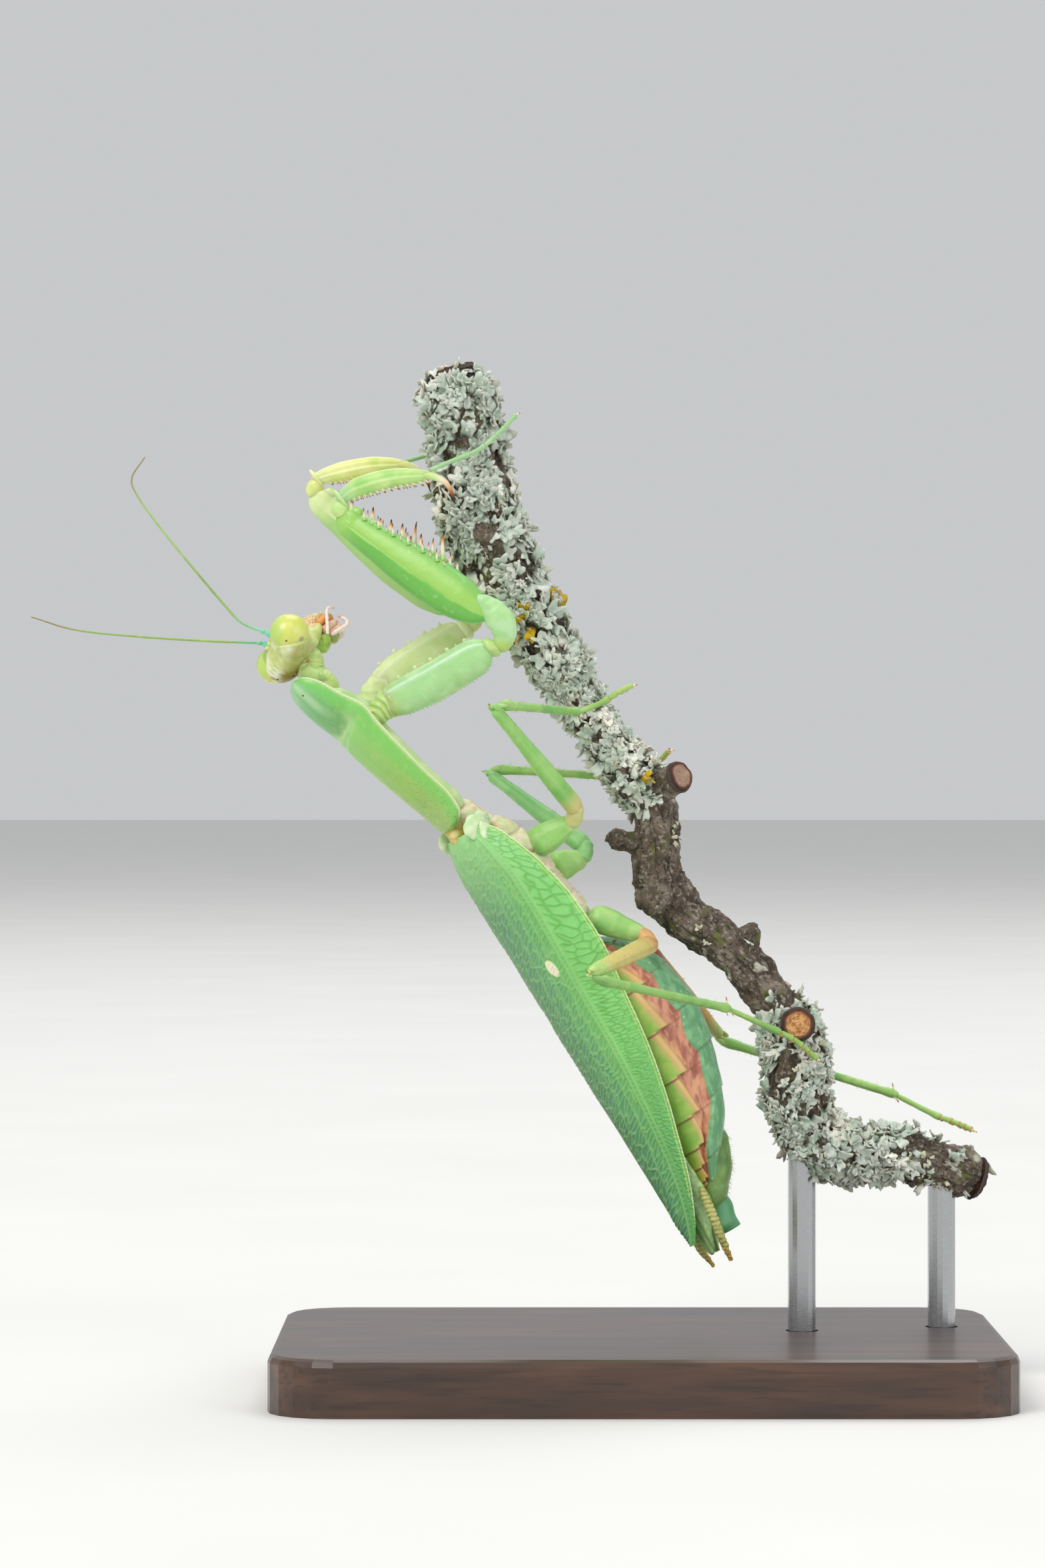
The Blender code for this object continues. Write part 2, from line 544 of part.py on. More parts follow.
def build_fore_leg(name, colours):
    joints = LEGS["fore_" + name]
    wide = 1.0 if name == "r" else 0.92
    points = joints["coxa"]
    coxa = ((0, 1.0), (0.1, 1.7), (0.3, 2.0), (0.6, 2.05), (0.85, 1.95), (1, 1.3))
    coxa = tuple((share, half * wide) for share, half in coxa)
    up = (-0.45, 0.0, 0.9)
    obj = add_limb("fore_coxa_" + name, points, coxa, colours["foreleg"], 8, up, 0.62)
    cones = []
    for share in (0.22, 0.38, 0.54, 0.70, 0.85):
        point = point_at(points, share)
        half = float(np.interp(share, [p[0] for p in coxa], [p[1] for p in coxa]))
        foot = point + Vector(up).normalized() * (half * 0.85)
        cones.append((foot, foot + Vector(up) * (half * 0.15 + 0.55), 0.4))
    thorned(obj, cones)

    add_limb("fore_trochanter_" + name, joints["trochanter"],
             ((0, 0.7), (0.2, 1.1), (0.5, 1.05), (0.8, 0.85), (1, 0.5)), colours["foreleg"], 8)

    points = joints["femur"]
    along = (Vector(points[1]) - Vector(points[0])).normalized()
    side = Vector((0.0, -1.0, 0.0))
    side = (side - along * side.dot(along)).normalized()
    outwards = along.cross(side)
    if outwards.z < 0:
        outwards = -outwards
    femur = ((0, 0.9), (0.06, 1.75), (0.2, 2.35), (0.4, 2.5), (0.6, 2.2), (0.8, 1.75), (0.93, 1.45), (1, 0.9))
    obj = add_limb("fore_femur_" + name, points, femur, colours["foreleg"], 10, outwards, 0.55)
    thorned(obj, femur_thorns(points, femur, outwards, side))

    points = joints["tibia"]
    tibia = ((0, 0.6), (0.08, 0.95), (0.3, 1.05), (0.6, 0.95), (0.85, 0.75), (0.96, 0.6), (1, 0.35))
    obj = add_limb("fore_tibia_" + name, points, tibia, colours["foreleg"], 8, (-0.3, 0.0, 1.0), 0.7)
    bm = bmesh.new()
    claw = [Vector(points[-2]).lerp(Vector(points[-1]), 0.93), *[Vector(p) for p in joints["claw"]]]
    skin_rings(bm, limb_rings(claw, ((0, 0.35), (0.3, 0.5), (0.6, 0.38), (1, 0.12)), 6))
    for i in range(11):
        share = 0.12 + 0.07 * i
        point = point_at(points, share)
        half = float(np.interp(share, [p[0] for p in tibia], [p[1] for p in tibia]))
        down = Vector((0.35, 0.0, -1.0)).normalized()
        foot = point + down * (half * 0.72)
        add_cones(bm, [(foot, foot + down * (half * 0.28 + 0.75), 0.26)])
    boolean(obj, add_object(obj.name + "_thorns", bm, None, helper=True), "UNION")

    add_limb("fore_tarsus_" + name, joints["tarsus"],
             ((0, 0.27), (0.1, 0.32), (0.42, 0.3), (0.55, 0.32), (0.75, 0.3), (0.9, 0.33), (1, 0.26)),
             colours["foreleg"], 6)


def build_walking_leg(name, colours):
    joints = LEGS[name]
    hind = name.startswith("hind")
    pair, side = name.split("_")
    wide = 1.0 if hind else 1.2
    coxa = ((0, 0.8), (0.15, 1.35), (0.5, 1.4), (0.85, 1.1), (1, 0.55))
    add_limb(pair + "_coxa_" + side, joints["coxa"], tuple((share, half * wide) for share, half in coxa),
             colours["leg"], 8)
    add_limb(pair + "_femur_" + side, joints["femur"],
             ((0, 0.5), (0.06, 0.85), (0.3, 0.82), (0.7, 0.72 if hind else 0.6),
              (0.93, 0.75 if hind else 0.62), (1, 0.4)),
             colours["leg"], 8)
    obj = add_limb(pair + "_tibia_" + side, joints["tibia"],
                   ((0, 0.35), (0.05, 0.6), (0.2, 0.5), (0.9, 0.48), (1, 0.35)), colours["leg"], 6)
    start, end = (Vector(p) for p in joints["tibia"])
    along = (end - start).normalized()
    down = Vector((0.0, 0.0, -1.0))
    foot = end - along * 0.5 + down * 0.15
    thorned(obj, [(foot, foot + down * 0.9 + along * 0.7, 0.26)])
    add_limb(pair + "_tarsus_" + side, joints["tarsus"],
             ((0, 0.26), (0.1, 0.32), (0.45, 0.28), (0.7, 0.32), (0.9, 0.32), (1, 0.25)), colours["leg"], 6)


def build_perch(colours):
    sides = 12
    path = [Vector(row[:3]) for row in BRANCH]
    rng = np.random.default_rng(7)
    rings = tube_rings(path, [row[3] for row in BRANCH], sides)
    for i, ring in enumerate(rings):
        lumps = 1 + 0.07 * rng.standard_normal(sides)
        if i in (0, len(rings) - 1):
            lumps[:] = 1
        rings[i] = [path[i] + (point - path[i]) * float(np.clip(lump, 0.85, 1.12))
                    for point, lump in zip(ring, lumps)]
    bm = bmesh.new()
    skin_rings(bm, rings)
    perch = add_object("perch", bm, colours["bark"])
    for i, (foot, tip, radius) in enumerate(STUBS):
        bm = bmesh.new()
        skin_rings(bm, limb_rings((foot, tip), ((0, radius * 0.9), (0.6, radius * 1.05), (0.9, radius), (1, radius * 0.8)), 8))
        boolean(perch, add_object(f"stub_{i + 1}", bm, None, helper=True), "UNION")
    return perch


def build_stand(perch, colours):
    bm = bmesh.new()
    bmesh.ops.create_cube(bm, size=1.0)
    for vert in bm.verts:
        vert.co = Vector(a * b for a, b in zip(vert.co, BASE_SIZE))
        vert.co.z += BASE_SIZE[2] / 2
    upright = [e for e in bm.edges if abs(e.verts[0].co.z - e.verts[1].co.z) > 1]
    bmesh.ops.bevel(bm, geom=upright, offset=BASE_CORNER, segments=5, profile=0.5, affect="EDGES")
    top = [e for e in bm.edges if all(v.co.z > BASE_SIZE[2] - 0.01 for v in e.verts)
           and len([f for f in e.link_faces if abs(f.normal.z) > 0.9]) == 1]
    bmesh.ops.bevel(bm, geom=top, offset=0.8, segments=2, profile=0.5, affect="EDGES")
    base = add_object("stand_base", bm, colours["base"])

    for i, ((x, y), top_z) in enumerate(zip(ROD_FEET, ROD_TOPS)):
        label = f"stand_rod_{i + 1}"
        for grow, name in ((0.0, label), (GAP, label + "_bore")):
            bm = bmesh.new()
            low = BASE_SIZE[2] - 3.0 - grow
            rings = []
            for z, r in ((low, ROD_RADIUS + grow), (top_z + grow, ROD_RADIUS + grow)):
                rings.append([Vector((x + r * math.cos(a), y + r * math.sin(a), z))
                              for a in (2 * math.pi * k / 16 for k in range(16))])
            skin_rings(bm, rings)
            helper = grow > 0
            obj = add_object(name, bm, colours["rod"], helper=helper)
            if helper:
                boolean(perch, obj, "DIFFERENCE")
                boolean(base, obj, "DIFFERENCE")


def main():
    clear_scene()
    root = bpy.data.objects.new("mantis_model", None)
    root.scale = (MM, MM, MM)
    bpy.context.scene.collection.objects.link(root)
    colours = {
        "abdomen": material("abdomen_green", (0.30, 0.42, 0.10), 0.45),
        "thorax": material("thorax_cream", (0.62, 0.42, 0.32), 0.5),
        "pronotum": material("pronotum_green", (0.16, 0.38, 0.16), 0.45),
        "underside": material("underside_green", (0.20, 0.45, 0.22), 0.5),
        "wing": material("wing_green", (0.16, 0.44, 0.15), 0.45),
        "hindwing": material("hindwing_green", (0.30, 0.45, 0.22), 0.4),
        "head": material("head_green", (0.40, 0.50, 0.16), 0.45),
        "eye": material("eye_yellow_green", (0.55, 0.65, 0.12), 0.15),
        "mouth": material("mouth_cream", (0.62, 0.42, 0.28), 0.45),
        "neck": material("neck_green", (0.36, 0.50, 0.16), 0.5),
        "feeler": material("feeler_green", (0.35, 0.48, 0.14), 0.5),
        "foreleg": material("foreleg_green", (0.32, 0.55, 0.22), 0.4),
        "leg": material("leg_green", (0.36, 0.50, 0.20), 0.45),
        "bark": material("bark_and_lichen", (0.32, 0.36, 0.28), 0.9),
        "base": material("base_grey", (0.22, 0.21, 0.20), 0.5),
        "rod": material("rod_steel", (0.55, 0.55, 0.55), 0.3, 1.0),
    }
    build_body(colours)
    build_head(colours)
    for name in ("r", "l"):
        build_fore_leg(name, colours)
    for name in ("mid_r", "mid_l", "hind_r", "hind_l"):
        build_walking_leg(name, colours)
    perch = build_perch(colours)
    build_stand(perch, colours)


main()
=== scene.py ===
"""Looks of the praying mantis display model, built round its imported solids.

Every skin, plate, vein, thorn and hair is mesh made here by functions. Tables are in
millimetres, in the frame of the solids, and MM turns them into Blender's metres.
+Z is up, -X is where the head points, and the mantis's right side looks towards -Y.
Each point of a mesh carries marks, which its material reads: along (0 at the foot of a
piece, 1 at its tip), across (-1 to 1 round or across it), vein (0 to 1) and tip (0 to 1).
"""
import math

import bmesh
import bpy
import numpy as np
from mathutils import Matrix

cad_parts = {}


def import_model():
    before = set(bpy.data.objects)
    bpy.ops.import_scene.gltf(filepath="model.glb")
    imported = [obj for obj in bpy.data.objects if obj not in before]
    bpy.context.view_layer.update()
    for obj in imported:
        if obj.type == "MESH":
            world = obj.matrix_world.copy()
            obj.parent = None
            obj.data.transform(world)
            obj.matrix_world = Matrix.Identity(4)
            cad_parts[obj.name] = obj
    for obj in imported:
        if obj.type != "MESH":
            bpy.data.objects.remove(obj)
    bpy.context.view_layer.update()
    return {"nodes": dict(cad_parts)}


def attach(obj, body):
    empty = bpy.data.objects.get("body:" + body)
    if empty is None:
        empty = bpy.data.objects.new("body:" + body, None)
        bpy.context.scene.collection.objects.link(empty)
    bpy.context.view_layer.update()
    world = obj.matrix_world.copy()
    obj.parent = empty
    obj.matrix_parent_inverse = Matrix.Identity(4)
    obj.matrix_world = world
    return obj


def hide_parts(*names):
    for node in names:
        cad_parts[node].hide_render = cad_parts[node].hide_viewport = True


MM = 0.001
MARKS = ("along", "across", "vein", "tip")
BLUNT = 0.12                 # a thorn's end, as a share of its thickness

# The two straight frames that carry the body. s runs backwards along the axis,
# u to the mantis's right, v to its back.
BODY_ORIGIN = (-19.9, -2.0, 60.7)
BODY_ANGLE = 119.5
BODY_ROLL = 30.0
PROTHORAX_ORIGIN = (-20.6, -2.0, 61.8)
PROTHORAX_ANGLE = 136.8
PROTHORAX_ROLL = 35.0

# Wing sections: s, crease half-width, crease v, margin half-width, margin v, midline v
WING = (
    (1.5, 3.1, 0.1, 3.9, -1.1, 1.1),
    (2.8, 3.9, 0.1, 4.8, -1.8, 1.4),
    (4.8, 4.6, 0.0, 5.5, -2.5, 1.5),
    (8.2, 5.1, -0.4, 6.3, -3.5, 1.5),
    (13.0, 5.0, -0.7, 6.6, -4.6, 1.3),
    (18.4, 4.8, -0.8, 6.7, -5.0, 1.2),
    (24.0, 4.5, -1.0, 6.4, -4.6, 1.0),
    (30.0, 4.3, -1.2, 6.0, -4.2, 0.8),
    (36.0, 3.7, -1.2, 5.2, -3.5, 0.6),
    (41.0, 3.0, -1.2, 4.2, -2.7, 0.4),
    (45.3, 2.3, -1.0, 3.1, -2.0, 0.4),
    (48.6, 1.5, -0.6, 2.0, -1.2, 0.4),
    (50.8, 0.8, -0.2, 1.1, -0.5, 0.3),
    (51.9, 0.4, 0.1, 0.55, -0.05, 0.25),
)
WING_THICKNESS = 0.32
FAR_WING_DROP = 0.85         # the left fore wing lies this much lower, under the right one
FAR_WING_SHIFT = 0.02        # and this much farther forward, as a share of that
CREASE_POINT, MARGIN_POINT = 4, 6     # of the control points across a fore wing
# Points along a fore wing, across its upper face and across its lower face
FORE_WING_GRIDS = {"r": (640, 140, 14), "l": (340, 80, 12)}
# The folded hind wings: s and half-width
HIND_WING = ((9.0, 2.6), (16.0, 3.0), (26.0, 2.9), (36.0, 2.8), (44.0, 2.6), (50.0, 2.0), (53.0, 1.2),
             (53.9, 0.3))

# Abdomen sections: s, top v, bottom v, half-width
ABDOMEN = (
    (17.9, -4.6, -7.9, 2.2),
    (18.8, -3.6, -9.2, 3.4),
    (21.0, -2.8, -11.6, 4.6),
    (25.0, -2.6, -13.6, 5.7),
    (29.5, -2.7, -14.3, 6.0),
    (33.5, -2.9, -13.7, 5.7),
    (37.5, -3.1, -12.3, 5.0),
    (41.0, -3.3, -10.2, 4.1),
    (44.0, -3.5, -7.8, 3.1),
    (46.5, -3.7, -6.5, 2.1),
    (48.2, -4.1, -5.8, 1.2),
)
# Winged part of the chest: s, top v, bottom v, half-width
THORAX = (
    (1.2, -1.3, -4.6, 1.6),
    (2.0, -1.0, -5.4, 2.7),
    (4.5, -1.0, -6.6, 3.5),
    (7.5, -1.8, -7.3, 3.8),
    (10.0, -2.1, -7.7, 3.9),
    (13.5, -2.4, -8.4, 3.9),
    (16.4, -3.2, -8.6, 3.3),
    (17.4, -4.2, -8.2, 2.3),
)
# Pronotum sections: s, half-width, margin v, dome height
PRONOTUM = (
    (-21.8, 0.7, 1.25, 0.3),
    (-21.2, 1.7, 1.1, 0.8),
    (-19.6, 2.7, 0.7, 1.5),
    (-17.2, 3.2, 0.3, 1.8),
    (-14.2, 3.75, -0.3, 1.9),
    (-12.4, 3.45, -0.2, 2.1),
    (-9.0, 3.25, -0.1, 2.1),
    (-5.0, 3.0, -0.1, 1.9),
    (-2.0, 2.9, -0.2, 1.8),
    (0.4, 2.5, 0.1, 1.6),
    (1.7, 1.3, 0.9, 0.9),
)
# Underside below the pronotum: s, top v, bottom v, half-width
PROSTERNUM = (
    (-18.6, 0.0, -0.9, 1.0),
    (-17.4, 0.0, -1.9, 1.9),
    (-14.2, -0.3, -2.7, 2.5),
    (-11.0, -0.2, -2.4, 2.0),
    (-5.0, -0.2, -2.2, 1.8),
    (-1.0, -0.2, -2.4, 1.9),
    (0.6, -0.5, -2.2, 1.2),
)

# Head frame: middle between the eyes, towards the left eye, towards the crown.
# Places in it are forward, left, up.
HEAD_CENTRE = (-38.3, -1.6, 79.4)
HEAD_LEFT = (-0.301, 0.709, -0.638)
HEAD_CROWN = (-0.682, -0.627, -0.376)
# Feelers, from behind the swollen foot to the tip
ANTENNAE = {
    "r": ((-40.0, -1.7, 81.2), (-42.7, -0.8, 82.3), (-44.5, -0.2, 84.1), (-48.1, 1.0, 88.3),
          (-51.9, 3.5, 92.9), (-54.6, 6.0, 96.6), (-55.1, 7.0, 98.4), (-53.9, 7.5, 100.4)),
    "l": ((-40.5, -0.6, 80.1), (-42.6, -1.6, 80.2), (-46.1, -2.8, 80.3), (-53.1, -4.3, 80.7),
          (-60.1, -5.4, 81.4), (-64.6, -6.0, 82.7)),
}

# Branch: x, y, z, radius
BRANCH = (
    (-20.4, 4.4, 110.0, 3.2), (-20.0, 4.4, 108.6, 3.7), (-19.2, 4.4, 104.5, 3.9),
    (-18.3, 4.3, 99.8, 3.7), (-17.6, 4.1, 95.8, 4.5), (-16.4, 4.0, 91.6, 4.1),
    (-14.6, 3.8, 88.0, 3.7), (-12.6, 3.6, 84.2, 3.2), (-10.3, 3.5, 80.6, 2.9),
    (-7.8, 3.3, 76.3, 2.4), (-5.1, 3.2, 72.0, 2.1), (-2.7, 3.2, 68.4, 2.4),
    (-0.1, 3.2, 65.3, 2.9), (1.7, 3.1, 62.2, 2.7), (1.9, 2.9, 58.3, 2.9),
    (2.3, 2.8, 54.5, 3.0), (4.8, 2.6, 50.7, 2.8), (8.7, 2.2, 47.9, 2.7),
    (11.9, 1.9, 45.0, 2.5), (14.5, 1.6, 41.6, 2.6), (16.6, 1.5, 37.5, 3.2),
    (17.1, 1.6, 33.1, 3.4), (17.5, 1.9, 29.2, 3.2), (19.6, 2.4, 26.0, 3.0),
    (23.9, 3.3, 25.1, 3.0), (28.3, 4.6, 24.9, 2.8), (32.6, 6.1, 23.6, 2.8),
    (36.2, 7.3, 22.2, 3.1), (37.2, 7.6, 21.8, 2.9),
)

# Legs: the joints of each leg, from the body to the claws
LEGS = {
    "fore_r": {
        "coxa": ((-27.3, -3.2, 73.4), (-24.6, -4.2, 74.6), (-21.6, -4.9, 76.1), (-16.2, -6.3, 79.3)),
        "trochanter": ((-14.7, -6.4, 79.5), (-14.2, -6.4, 82.0), (-15.2, -6.2, 84.3)),
        "femur": ((-16.5, -6.3, 82.9), (-32.2, 0.0, 93.7)),
        "tibia": ((-31.9, -0.5, 95.8), (-30.2, -1.1, 96.8), (-26.4, -1.5, 97.8), (-22.4, -2.0, 98.1)),
        "claw": ((-22.2, -2.0, 98.0), (-20.9, -2.0, 97.4), (-20.2, -1.8, 96.3), (-19.8, -1.6, 95.0)),
        "tarsus": ((-22.0, -1.9, 98.9), (-20.0, -1.9, 99.7), (-17.4, -1.8, 100.8),
                   (-15.1, -1.2, 102.7), (-13.3, 0.2, 104.7)),
    },
    "fore_l": {
        "coxa": ((-28.6, 1.9, 74.6), (-26.6, 3.4, 76.6), (-24.1, 5.0, 78.4), (-19.2, 8.0, 81.6)),
        "trochanter": ((-18.2, 8.6, 82.0), (-17.8, 8.7, 83.5), (-18.4, 8.8, 85.2)),
        "femur": ((-19.9, 8.8, 84.1), (-35.5, 9.0, 96.5)),
        "tibia": ((-34.8, 8.7, 98.4), (-32.9, 8.3, 98.9), (-29.2, 7.6, 99.6), (-25.3, 7.0, 99.8)),
        "claw": ((-25.1, 7.0, 99.7), (-23.6, 7.0, 99.0), (-22.9, 7.0, 97.8), (-22.5, 7.0, 96.6)),
        "tarsus": ((-24.9, 7.6, 100.3), (-23.3, 8.4, 100.8), (-21.8, 8.9, 101.6),
                   (-20.6, 9.2, 102.8), (-19.6, 9.2, 104.4)),
    },
    "mid_r": {
        "coxa": ((-10.9, -2.4, 58.7), (-7.3, -3.4, 60.8)),
        "femur": ((-6.8, -4.0, 62.3), (-15.4, -12.9, 72.8)),
        "tibia": ((-14.6, -12.2, 73.3), (-6.6, -2.8, 72.7)),
        "tarsus": ((-6.1, -2.2, 72.9), (-3.9, -1.6, 73.8), (-2.4, -0.8, 74.8), (-0.8, 0.6, 75.6)),
    },
    "mid_l": {
        "coxa": ((-8.5, 2.7, 56.1), (-6.0, 3.5, 57.0)),
        "femur": ((-5.7, 4.0, 58.2), (-15.9, 10.4, 65.9)),
        "tibia": ((-15.1, 10.6, 66.6), (-2.6, 8.2, 65.8)),
        "tarsus": ((-2.1, 8.1, 66.0), (0.2, 7.9, 66.3), (2.1, 7.6, 67.3), (3.4, 6.8, 68.6)),
    },
    "hind_r": {
        "coxa": ((-4.7, -2.2, 50.6), (0.2, -2.1, 48.8)),
        "femur": ((1.2, -2.8, 47.9), (-5.3, -20.3, 45.5)),
        "tibia": ((-4.5, -19.9, 44.6), (9.4, -6.7, 41.1)),
        "tarsus": ((9.9, -6.2, 40.8), (14.0, -4.8, 38.9), (16.6, -3.9, 37.6), (18.9, -2.6, 35.6)),
    },
    "hind_l": {
        "coxa": ((-2.1, 4.4, 48.8), (0.8, 5.6, 47.9)),
        "femur": ((1.0, 6.2, 47.0), (9.2, 18.4, 37.2)),
        "tibia": ((9.7, 18.4, 36.4), (28.8, 16.1, 30.6)),
        "tarsus": ((29.3, 15.9, 30.3), (32.6, 12.8, 28.7), (34.8, 10.7, 27.9), (36.6, 9.2, 27.2)),
    },
}


# ---------------------------------------------------------------- numbers and curves

def unit(vectors):
    vectors = np.asarray(vectors, float)
    return vectors / np.maximum(np.linalg.norm(vectors, axis=-1, keepdims=True), 1e-12)


def spline(values, at):
    """Catmull-Rom curve through values (along the first axis), read at the positions at."""
    values = np.asarray(values, float)
    at = np.asarray(at, float)
    last = len(values) - 1
    if last == 1:
        f = at.reshape(-1, *[1] * (values.ndim - 1))
        return values[0] * (1 - f) + values[1] * f
    padded = np.concatenate([2 * values[:1] - values[1:2], values, 2 * values[-1:] - values[-2:-1]])
    i = np.minimum(at.astype(int), last - 1)
    f = (at - i).reshape(-1, *[1] * (values.ndim - 1))
    a, b, c, d = (padded[i + k] for k in range(4))
    return 0.5 * (2 * b + (c - a) * f + (2 * a - 5 * b + 4 * c - d) * f ** 2
                  + (3 * b - a - 3 * c + d) * f ** 3)


def ease(x, xs, ys):
    """Smooth curve through the points (xs, ys) that never overshoots them, read at x."""
    xs = np.asarray(xs, float)
    ys = np.asarray(ys, float)
    slope = np.diff(ys) / np.diff(xs)
    inner = np.where(slope[:-1] * slope[1:] > 0,
                     2 * slope[:-1] * slope[1:] / (slope[:-1] + slope[1:] + 1e-30), 0)
    tangent = np.concatenate([slope[:1], inner, slope[-1:]])
    i = np.clip(np.searchsorted(xs, x) - 1, 0, len(xs) - 2)
    h = xs[i + 1] - xs[i]
    t = np.clip((x - xs[i]) / h, 0, 1)
    return ((2 * t ** 3 - 3 * t ** 2 + 1) * ys[i] + (t ** 3 - 2 * t ** 2 + t) * h * tangent[i]
            + (3 * t ** 2 - 2 * t ** 3) * ys[i + 1] + (t ** 3 - t ** 2) * h * tangent[i + 1])


def bell(x, middle, width):
    """1 in the middle, falling off to both sides."""
    return np.exp(-((x - middle) / width) ** 2)


def step(x, low, high):
    """0 up to low, 1 from high on, smooth between."""
    t = np.clip((x - low) / (high - low), 0, 1)
    return t * t * (3 - 2 * t)


def join(*parts):
    """Arrays of one shape, or that spread to one shape, side by side on a new last axis."""
    return np.stack(np.broadcast_arrays(*parts), -1)


def two_faces(front, back):
    """The columns of one face, then those of the other in reverse, so that they run round."""
    return np.concatenate([front, back[:, ::-1]], 1)


def upper_only(values, columns, rest=0.0):
    """The values of an upper face, then rest on so many more columns below it."""
    return np.concatenate([values, np.full((len(values), columns), rest)], 1)


def circle(count):
    return np.linspace(0, 2 * math.pi, count, endpoint=False)


def globe(rows, sides, margin):
    """Directions all round a ball, whose poles are on the last axis and left out by margin."""
    lift = np.linspace(margin, math.pi - margin, rows)[:, None]
    turn = circle(sides)
    return join(np.sin(lift) * np.cos(turn), np.sin(lift) * np.sin(turn), np.cos(lift))


def scatter(*cell, seed=0):
    """A fixed random number from -1 to 1 for each cell of a lattice."""
    h = np.full(np.shape(cell[0]), seed * 7919 + 101, np.int64)
    for part, prime in zip(cell, (73856093, 19349663, 83492791)):
        h = (h ^ (np.asarray(part, np.int64) * prime)) & 0xFFFFFFFF
        h = ((h ^ (h >> 15)) * 2246822519) & 0xFFFFFFFF
    h = ((h ^ (h >> 13)) * 3266489917) & 0xFFFFFFFF
    return ((h ^ (h >> 16)) & 0xFFFFF) / 524287.5 - 1


def noise(points, size, seed=0, octaves=1):
    """Smooth noise from -1 to 1 at points, with lumps about size across."""
    points = np.asarray(points, float)
    total, weight = 0, 1.0
    for octave in range(octaves):
        p = points / size + 31.7
        base = np.floor(p).astype(np.int64)
        f = p - base
        f = f * f * (3 - 2 * f)
        for corner in range(8):
            d = np.array((corner & 1, corner >> 1 & 1, corner >> 2 & 1))
            share = np.prod(np.where(d, f, 1 - f), axis=-1)
            cell = base + d
            total = total + weight * share * scatter(*np.moveaxis(cell, -1, 0), seed=seed + octave)
        size /= 2
        weight /= 2
    return total


def net(x, y, seed=0, jitter=0.42):
    """Distance to the nearest border between the cells of an irregular net, in cells."""
    ix, iy = np.floor(x).astype(np.int64), np.floor(y).astype(np.int64)
    near, second = np.full(x.shape, 9.0), np.full(x.shape, 9.0)
    near_at, second_at = np.zeros((2, *x.shape)), np.ones((2, *x.shape))
    for dx in (-1, 0, 1):
        for dy in (-1, 0, 1):
            at = np.array((ix + dx + 0.5 + jitter * scatter(ix + dx, iy + dy, seed=seed),
                           iy + dy + 0.5 + jitter * scatter(ix + dx, iy + dy, seed=seed + 1)))
            far = np.hypot(at[0] - x, at[1] - y)
            closer = far < near
            between = ~closer & (far < second)
            second = np.where(closer, near, np.where(between, far, second))
            second_at = np.where(closer, near_at, np.where(between, at, second_at))
            near = np.where(closer, far, near)
            near_at = np.where(closer, at, near_at)
    apart = np.hypot(*(second_at - near_at))
    return (second ** 2 - near ** 2) / (2 * np.maximum(apart, 1e-6))


def sections(table, s):
    """The columns of a table of sections, read at the places s, which its first column counts."""
    places, *columns = np.array(table).T
    return [ease(s, places, column) for column in columns]


class Frame:
    """A straight frame of the body, with s backwards, u to the right and v to the back."""

    def __init__(self, origin, angle, roll):
        angle, roll = math.radians(angle), math.radians(roll)
        self.origin = np.array(origin)
        self.ahead = np.array((math.cos(angle), 0.0, math.sin(angle)))
        level = np.array((-math.sin(angle), 0.0, math.cos(angle)))
        self.back = level * math.cos(roll) + np.array((0.0, -1.0, 0.0)) * math.sin(roll)
        self.right = np.cross(self.ahead, self.back)

    def at(self, s, u, v):
        places = join(s, u, v)
        return (self.origin - self.ahead * places[..., :1] + self.right * places[..., 1:2]
                + self.back * places[..., 2:])


BODY = Frame(BODY_ORIGIN, BODY_ANGLE, BODY_ROLL)
PROTHORAX = Frame(PROTHORAX_ORIGIN, PROTHORAX_ANGLE, PROTHORAX_ROLL)
LEFT = unit(HEAD_LEFT)
CROWN = unit(np.array(HEAD_CROWN) - LEFT * np.dot(HEAD_CROWN, LEFT))
FRONT = np.cross(LEFT, CROWN)
HEAD_AXES = (FRONT, LEFT, CROWN)


def in_head(points):
    """Points given in the head's frame, as points of the model."""
    points = np.asarray(points, float)
    return np.array(HEAD_CENTRE) + FRONT * points[..., :1] + LEFT * points[..., 1:2] + CROWN * points[..., 2:]


# ---------------------------------------------------------------- meshes

def grid_normals(grid):
    """Unit normals of rings of points (rows, columns), pointing away from the rings' middles."""
    across = np.roll(grid, -1, 1) - np.roll(grid, 1, 1)
    normal = unit(np.cross(across, np.gradient(grid, axis=0)))
    outwards = grid - grid.mean(axis=1, keepdims=True)
    return -normal if (normal * outwards).sum() < 0 else normal


def rings(centre, side, up, half, angle, flat=1.0):
    """An oval of points round each centre, half as high as half says, and flat times as wide."""
    return (centre[:, None] + up[:, None] * (half[:, None] * np.cos(angle))[..., None]
            + side[:, None] * (half[:, None] * flat * np.sin(angle))[..., None])


